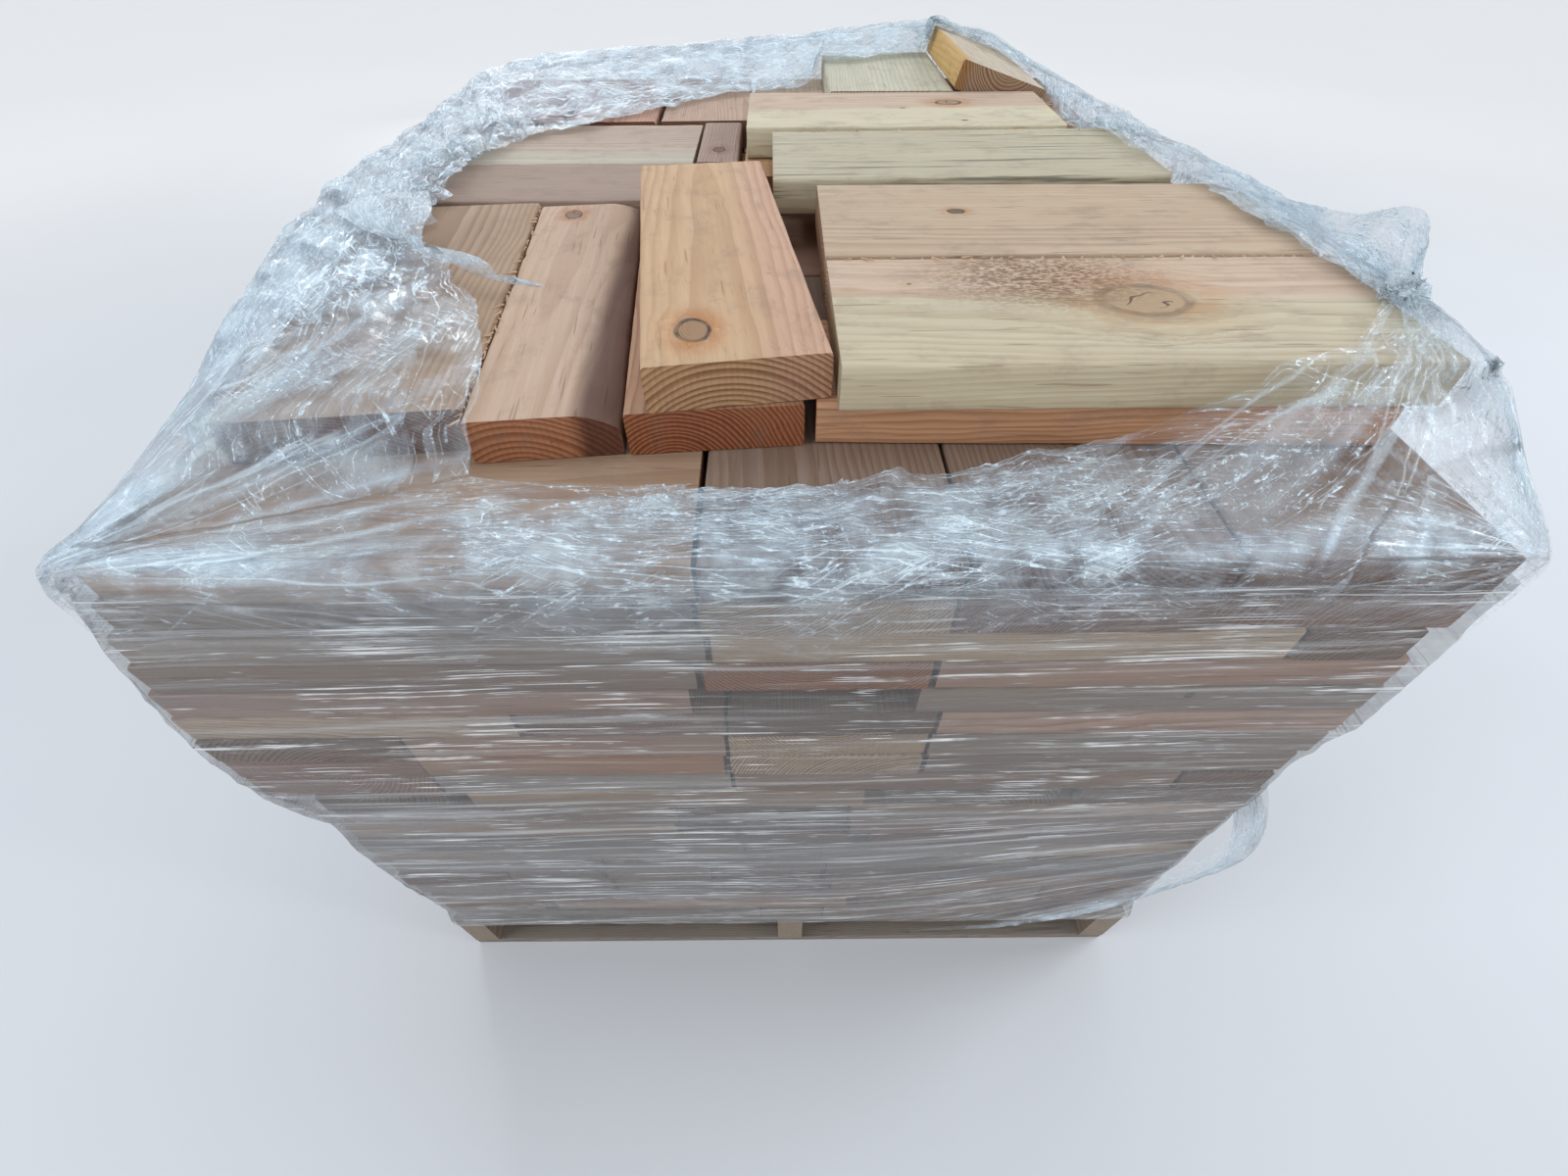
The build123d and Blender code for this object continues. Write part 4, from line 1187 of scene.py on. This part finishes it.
def filmGroup():
    inp, out, group = makeGroup("filmCreases", [
        ("Place", "Vector", None), ("Flow", "Vector", None), ("Fan", "Vector", None),
        ("Milky", "Float", 0.5), ("Tight", "Float", 1.0), ("Crease", "Float", 0.0),
    ], [("Veil", "Float"), ("Color", "Color"), ("Height", "Float"), ("Roughness", "Float")])
    # drawn film: long level lines that waver, and climb towards the lower right; the bright streaks, threads
    # and flecks along them are painted highlights
    part = parts(inp["Place"])
    right = largest(part[0], 0.0)
    climb = times(right, right, -0.75, ramp(part[2], 0.15, 0.62, 1.0, 0.0))
    waver = times(stretchNoise(inp["Place"], (3.0, 3.0, 5.0)), 0.022)
    z = plus(part[2], times(part[0], -0.022), climb, waver)
    drawn = joined(part[0], part[1], z)
    band = stretchNoise(drawn, (1.0, 1.0, 13), 3.0, 0.6)
    wide = stretchNoise(drawn, (1.8, 1.8, 75), 4.0, 0.68)
    thin = stretchNoise(drawn, (5.0, 5.0, 290), 2.0, 0.6)
    broken = stretchNoise(drawn, (11, 11, 26), 3.0, 0.6)
    dashes = stretchNoise(drawn, (26, 26, 820), 1.0)
    streak = ramp(wide, 0.5, 0.66)
    thread = times(ramp(thin, 0.57, 0.63), ramp(broken, 0.42, 0.58))
    fleck = times(ramp(dashes, 0.655, 0.7), ramp(broken, 0.47, 0.6))
    # loose film: straight creases that cross each other; their white is partly the real folds and partly
    # painted highlight, and the glints along them are painted glints
    foldA, lineA = creaseLines(inp["Flow"], 0.08, 5.0, 46.0, 0.022)
    foldB, lineB = creaseLines(inp["Flow"], 0.45, 6.0, 60.0, 0.018)
    foldC, lineC = creaseLines(inp["Flow"], -0.55, 6.0, 60.0, 0.018)
    foldD, lineD = creaseLines(inp["Fan"], 0.0, 2.5, 36.0, 0.024, 0.0)
    pulled = parts(inp["Fan"])[2]
    lineD = times(lineD, pulled)
    lineA = times(lineA, minus(1.0, times(pulled, 0.8)))
    patch = stretchNoise(inp["Place"], (21, 21, 21), 3.0, 0.6)
    patchB = stretchNoise(inp["Place"], (13, 13, 13))
    lineB = times(lineB, ramp(patch, 0.44, 0.58))
    lineC = times(lineC, ramp(patchB, 0.42, 0.58))
    crumbs = stretchNoise(inp["Place"], (120, 120, 120), 2.0, 0.6, 0.4)
    crumbFold = calc("ABSOLUTE", minus(crumbs, 0.5))
    crumbLine = times(ramp(crumbFold, 0.0, 0.03, 1.0, 0.0), ramp(patchB, 0.46, 0.66))
    lines = largest(lineA, lineB, lineC)
    sparkle = stretchNoise(inp["Place"], (210, 210, 210), 2.0, 0.6)
    glint = times(largest(lines, crumbLine), ramp(sparkle, 0.55, 0.62))
    lines = largest(lines, lineD, inp["Crease"])
    slack = minus(1.0, inp["Tight"])
    tightVeil = plus(times(ramp(band, 0.3, 0.7, 0.62, 1.25), inp["Milky"]), times(streak, 0.2),
                     times(thread, 0.46), times(fleck, 0.75))
    looseVeil = plus(times(ramp(patch, 0.3, 0.7, 0.25, 1.25), inp["Milky"]),
                     times(lines, plus(times(inp["Milky"], 0.55), 0.26)),
                     times(crumbLine, inp["Milky"], 0.45), times(glint, 0.65))
    veil = plus(times(tightVeil, inp["Tight"]), times(looseVeil, slack))
    # how far the film colour goes to white: painted highlights (streaks, threads, flecks, glints and pale
    # patches) together with the white of real creases
    creaseAndSheen = times(largest(times(streak, 0.45), thread, fleck), inp["Tight"])
    looseCreaseAndSheen = largest(lines, glint, ramp(patch, 0.35, 0.65, 0.35, 0.85))
    creaseAndSheen = plus(creaseAndSheen, times(looseCreaseAndSheen, slack))
    tightColour = blendColour(creaseAndSheen, (0.225, 0.23, 0.235), (0.86, 0.88, 0.88))
    # the loose film's blue tint is painted sky reflection
    looseColour = blendColour(creaseAndSheen, (0.51, 0.65, 0.81), (0.8, 0.94, 1.0))
    colour = blendColour(inp["Tight"], looseColour, tightColour)
    looseHeight = plus(times(foldA, 3.0), times(foldB, 2.4), times(foldC, 2.4), times(foldD, pulled, 3.5),
                       times(crumbFold, 1.3))
    tightHeight = plus(times(wide, 0.9), times(thin, 0.35), times(fleck, 0.4))
    height = plus(times(tightHeight, inp["Tight"]), times(looseHeight, slack))
    connect(out, {"Veil": calc("MINIMUM", veil, 0.97), "Color": colour, "Height": height,
                  "Roughness": ramp(band, 0.2, 0.8, 0.1, 0.24)})
    return group


def filmMaterial(name, group):
    material, tree, out = newMaterial(name)
    values = readers(tree, {"Flow": "flow", "Fan": "fan"}, "Vector")
    values.update(readers(tree, {"Milky": "milky", "Tight": "tight", "Crease": "crease"}, "Fac"))
    place = addNode(tree, "ShaderNodeTexCoord").outputs["Object"]
    creases = useGroup(tree, group, {"Place": place, **values})
    bump = addNode(tree, "ShaderNodeBump", {"Height": creases["Height"], "Strength": 0.8, "Distance": 0.003})
    shader = addNode(tree, "ShaderNodeBsdfPrincipled", {
        "Base Color": creases["Color"], "Roughness": creases["Roughness"], "Normal": bump.outputs[0],
        "Alpha": creases["Veil"], "IOR": 1.52, "Coat Weight": 0.35, "Coat Roughness": 0.12})
    tree.links.new(shader.outputs[0], out[0])
    return material


# Small repeated things, placed by Geometry Nodes: nail heads under the pallet, splinters on sawn edges

palletNails = {
    "radius": 0.0042, "height": 0.0011, "rows": (-0.489, 0.0, 0.489), "stagger": 0.006, "spread": 0.028,
}
splinters = {
    "perMetre": 110.0, "length": 0.015, "thickness": 0.0011, "seed": 7, "height": 0.97,
    # torn upper edges: the block, then where each starts and stops, across it and along its grain,
    # as shares of the half width and half length
    "edges": [
        ("loose_block_21_02", (1, -0.98), (1, 0.98)), ("loose_block_21_02", (1, -0.98), (1, -0.2)),
        ("loose_block_22_02", (1, -0.98), (1, 0.98)), ("loose_block_22_04", (1, -0.98), (1, 0.98)),
        ("loose_block_22_05", (-0.98, 1), (0.98, 1)),
    ],
}


def newGeometryTree(name, inputs):
    tree = bpy.data.node_groups.new(name, "GeometryNodeTree")
    tree.interface.new_socket("Geometry", in_out="INPUT", socket_type="NodeSocketGeometry")
    identifiers = {}
    for label, kind, value in inputs:
        socket = tree.interface.new_socket(label, in_out="INPUT", socket_type=kind)
        socket.default_value = value
        identifiers[label] = socket.identifier
    tree.interface.new_socket("Geometry", in_out="OUTPUT", socket_type="NodeSocketGeometry")
    inp, out = tree.nodes.new("NodeGroupInput").outputs, tree.nodes.new("NodeGroupOutput").inputs
    return tree, inp, out, identifiers


def applyTree(name, source, tree, identifiers, values, material):
    holder = addObject(name + "Source", source)
    modifier = holder.modifiers.new("build", "NODES")
    modifier.node_group = tree
    for label, value in values.items():
        modifier[identifiers[label]] = value
    bpy.context.view_layer.update()
    evaluated = holder.evaluated_get(bpy.context.evaluated_depsgraph_get())
    mesh = bpy.data.meshes.new_from_object(evaluated)
    holder.modifiers.remove(modifier)
    bpy.data.objects.remove(holder)
    if not mesh.materials:
        mesh.materials.append(material)
    return addObject(name, mesh)


def nailTree(material):
    tree, inp, out, identifiers = newGeometryTree("nailHeads", [
        ("Radius", "NodeSocketFloat", 0.004), ("Height", "NodeSocketFloat", 0.001)])
    head = addNode(tree, "GeometryNodeMeshCylinder", {
        "Vertices": 14, "Radius": inp["Radius"], "Depth": inp["Height"]})
    points = addNode(tree, "GeometryNodeMeshToPoints", {"Mesh": inp["Geometry"]})
    tilt = addNode(tree, "FunctionNodeRandomValue", {
        0: (-0.06, -0.06, 0.0), 1: (0.06, 0.06, 6.28), "Seed": 4}, data_type="FLOAT_VECTOR")
    placed = addNode(tree, "GeometryNodeInstanceOnPoints", {
        "Points": points.outputs[0], "Instance": head.outputs[0], "Rotation": tilt.outputs[0]})
    real = addNode(tree, "GeometryNodeRealizeInstances", {0: placed.outputs[0]})
    painted = addNode(tree, "GeometryNodeSetMaterial", {"Geometry": real.outputs[0], "Material": material})
    tree.links.new(painted.outputs[0], out[0])
    return tree, identifiers


def splinterTree(material):
    tree, inp, out, identifiers = newGeometryTree("edgeSplinters", [
        ("Spacing", "NodeSocketFloat", 0.01), ("Length", "NodeSocketFloat", 0.008),
        ("Thickness", "NodeSocketFloat", 0.0007), ("Seed", "NodeSocketInt", 1)])
    sliver = addNode(tree, "GeometryNodeMeshCone", {
        "Vertices": 4, "Radius Top": 0.0, "Radius Bottom": inp["Thickness"], "Depth": inp["Length"]})
    line = addNode(tree, "GeometryNodeMeshToCurve", {"Mesh": inp["Geometry"]})
    points = addNode(tree, "GeometryNodeCurveToPoints", {"Curve": line.outputs[0], "Length": inp["Spacing"]},
                     mode="LENGTH")
    turn = addNode(tree, "FunctionNodeRandomValue", {
        0: (1.05, -0.5, -0.9), 1: (1.95, 0.5, 0.9), "Seed": inp["Seed"]}, data_type="FLOAT_VECTOR")
    size = addNode(tree, "FunctionNodeRandomValue", {2: 0.15, 3: 1.2, "Seed": inp["Seed"]}, data_type="FLOAT")
    placed = addNode(tree, "GeometryNodeInstanceOnPoints", {
        "Points": points.outputs[0], "Instance": sliver.outputs[0], "Rotation": turn.outputs[0],
        "Scale": size.outputs[1]})
    real = addNode(tree, "GeometryNodeRealizeInstances", {0: placed.outputs[0]})
    painted = addNode(tree, "GeometryNodeSetMaterial", {"Geometry": real.outputs[0], "Material": material})
    tree.links.new(painted.outputs[0], out[0])
    return tree, identifiers


def makeNails(material):
    points = []
    for board in readBlocks("bottom_deck"):
        low = board["centre"][2] - board["half"][1]
        for x in palletNails["rows"]:
            for side in (-1, 1):
                y = board["centre"][1] + side * palletNails["spread"]
                points.append((x + palletNails["stagger"] * side, y, low + palletNails["height"] * 0.5))
    mesh = bpy.data.meshes.new("nailPoints")
    mesh.from_pydata(points, [], [])
    tree, identifiers = nailTree(material)
    values = {"Radius": palletNails["radius"], "Height": palletNails["height"]}
    piece = applyTree("pallet_nails", mesh, tree, identifiers, values, material)
    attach(piece, "root")
    return piece


def makeSplinters(material):
    points, edges = [], []
    for node, *ends in splinters["edges"]:
        block = readBlocks(node)[0]
        across, up, grain = (block["axes"][:, k] * block["half"][k] for k in range(3))
        edges.append((len(points), len(points) + 1))
        for x, z in ends:
            points.append(tuple(block["centre"] + across * x + up * splinters["height"] + grain * z))
    mesh = bpy.data.meshes.new("splinterLines")
    mesh.from_pydata(points, edges, [])
    tree, identifiers = splinterTree(material)
    values = {"Spacing": 1.0 / splinters["perMetre"], "Length": splinters["length"],
              "Thickness": splinters["thickness"], "Seed": splinters["seed"]}
    piece = applyTree("edge_splinters", mesh, tree, identifiers, values, material)
    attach(piece, "root")
    return piece


def nailMaterial():
    material, tree, out = newMaterial("rustyNail")
    place = addNode(tree, "ShaderNodeTexCoord").outputs["Object"]
    rust = ramp(stretchNoise(place, (500, 500, 500), 3.0), 0.4, 0.62)
    colour = blendColour(rust, (0.33, 0.33, 0.34), (0.2, 0.08, 0.03))
    shader = addNode(tree, "ShaderNodeBsdfPrincipled",
                     {"Base Color": colour, "Metallic": minus(1.0, rust),
                      "Roughness": ramp(rust, 0.0, 1.0, 0.4, 0.85)})
    tree.links.new(shader.outputs[0], out[0])
    return material


def splinterMaterial():
    material, tree, out = newMaterial("splinterWood")
    place = addNode(tree, "ShaderNodeTexCoord").outputs["Object"]
    patches = stretchNoise(place, (60, 60, 60))
    colour = blendColour(ramp(patches, 0.35, 0.65), (0.66, 0.47, 0.31), (0.5, 0.31, 0.18))
    shader = addNode(tree, "ShaderNodeBsdfPrincipled", {"Base Color": colour, "Roughness": 0.8})
    tree.links.new(shader.outputs[0], out[0])
    return material


makeCamera()
makeStudio()
print("camera and studio made")
woodGroup = sawnWoodGroup()
lumber = lumberMaterial("sawnLumber", woodGroup, 0.27)
palletBoard = lumberMaterial("palletBoard", woodGroup, 0.45)
courseNodes = sorted(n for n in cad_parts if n.startswith("course_"))
looseNodes = sorted(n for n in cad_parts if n.startswith("loose_block") or n == "leaning_block")
for node in courseNodes + looseNodes:
    piece = buildBlocks(node + "_wood", node, node in looseNodes)
    piece.data.materials.append(lumber)
print("blocks made", len(courseNodes) + len(looseNodes))
for node in ("top_deck", "bottom_deck"):
    piece = buildBlocks(node + "_boards", node, False)
    piece.data.materials.append(palletBoard)
stringerWood = stringerMaterial(woodGroup)
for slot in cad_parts["stringers"].material_slots:
    slot.material = stringerWood
makeNails(nailMaterial())
makeSplinters(splinterMaterial())
print("pallet, nails and splinters made")
clearFilm = filmMaterial("stretchFilm", filmGroup())
wrap = makeWrap(clearFilm)
rim = makeRim("film_rim", clearFilm, seed=11, spread=0.012, share=1.0, milkyShare=0.62, lower=0.0)
innerRim = makeRim(
    "film_rim_inner", clearFilm, seed=29, spread=0.004, share=0.80, milkyShare=0.45, lower=0.055)
lobe, twist, flap, knot = (make(clearFilm) for make in (makeLobe, makeTwist, makeFlap, makeKnot))
print("film made")
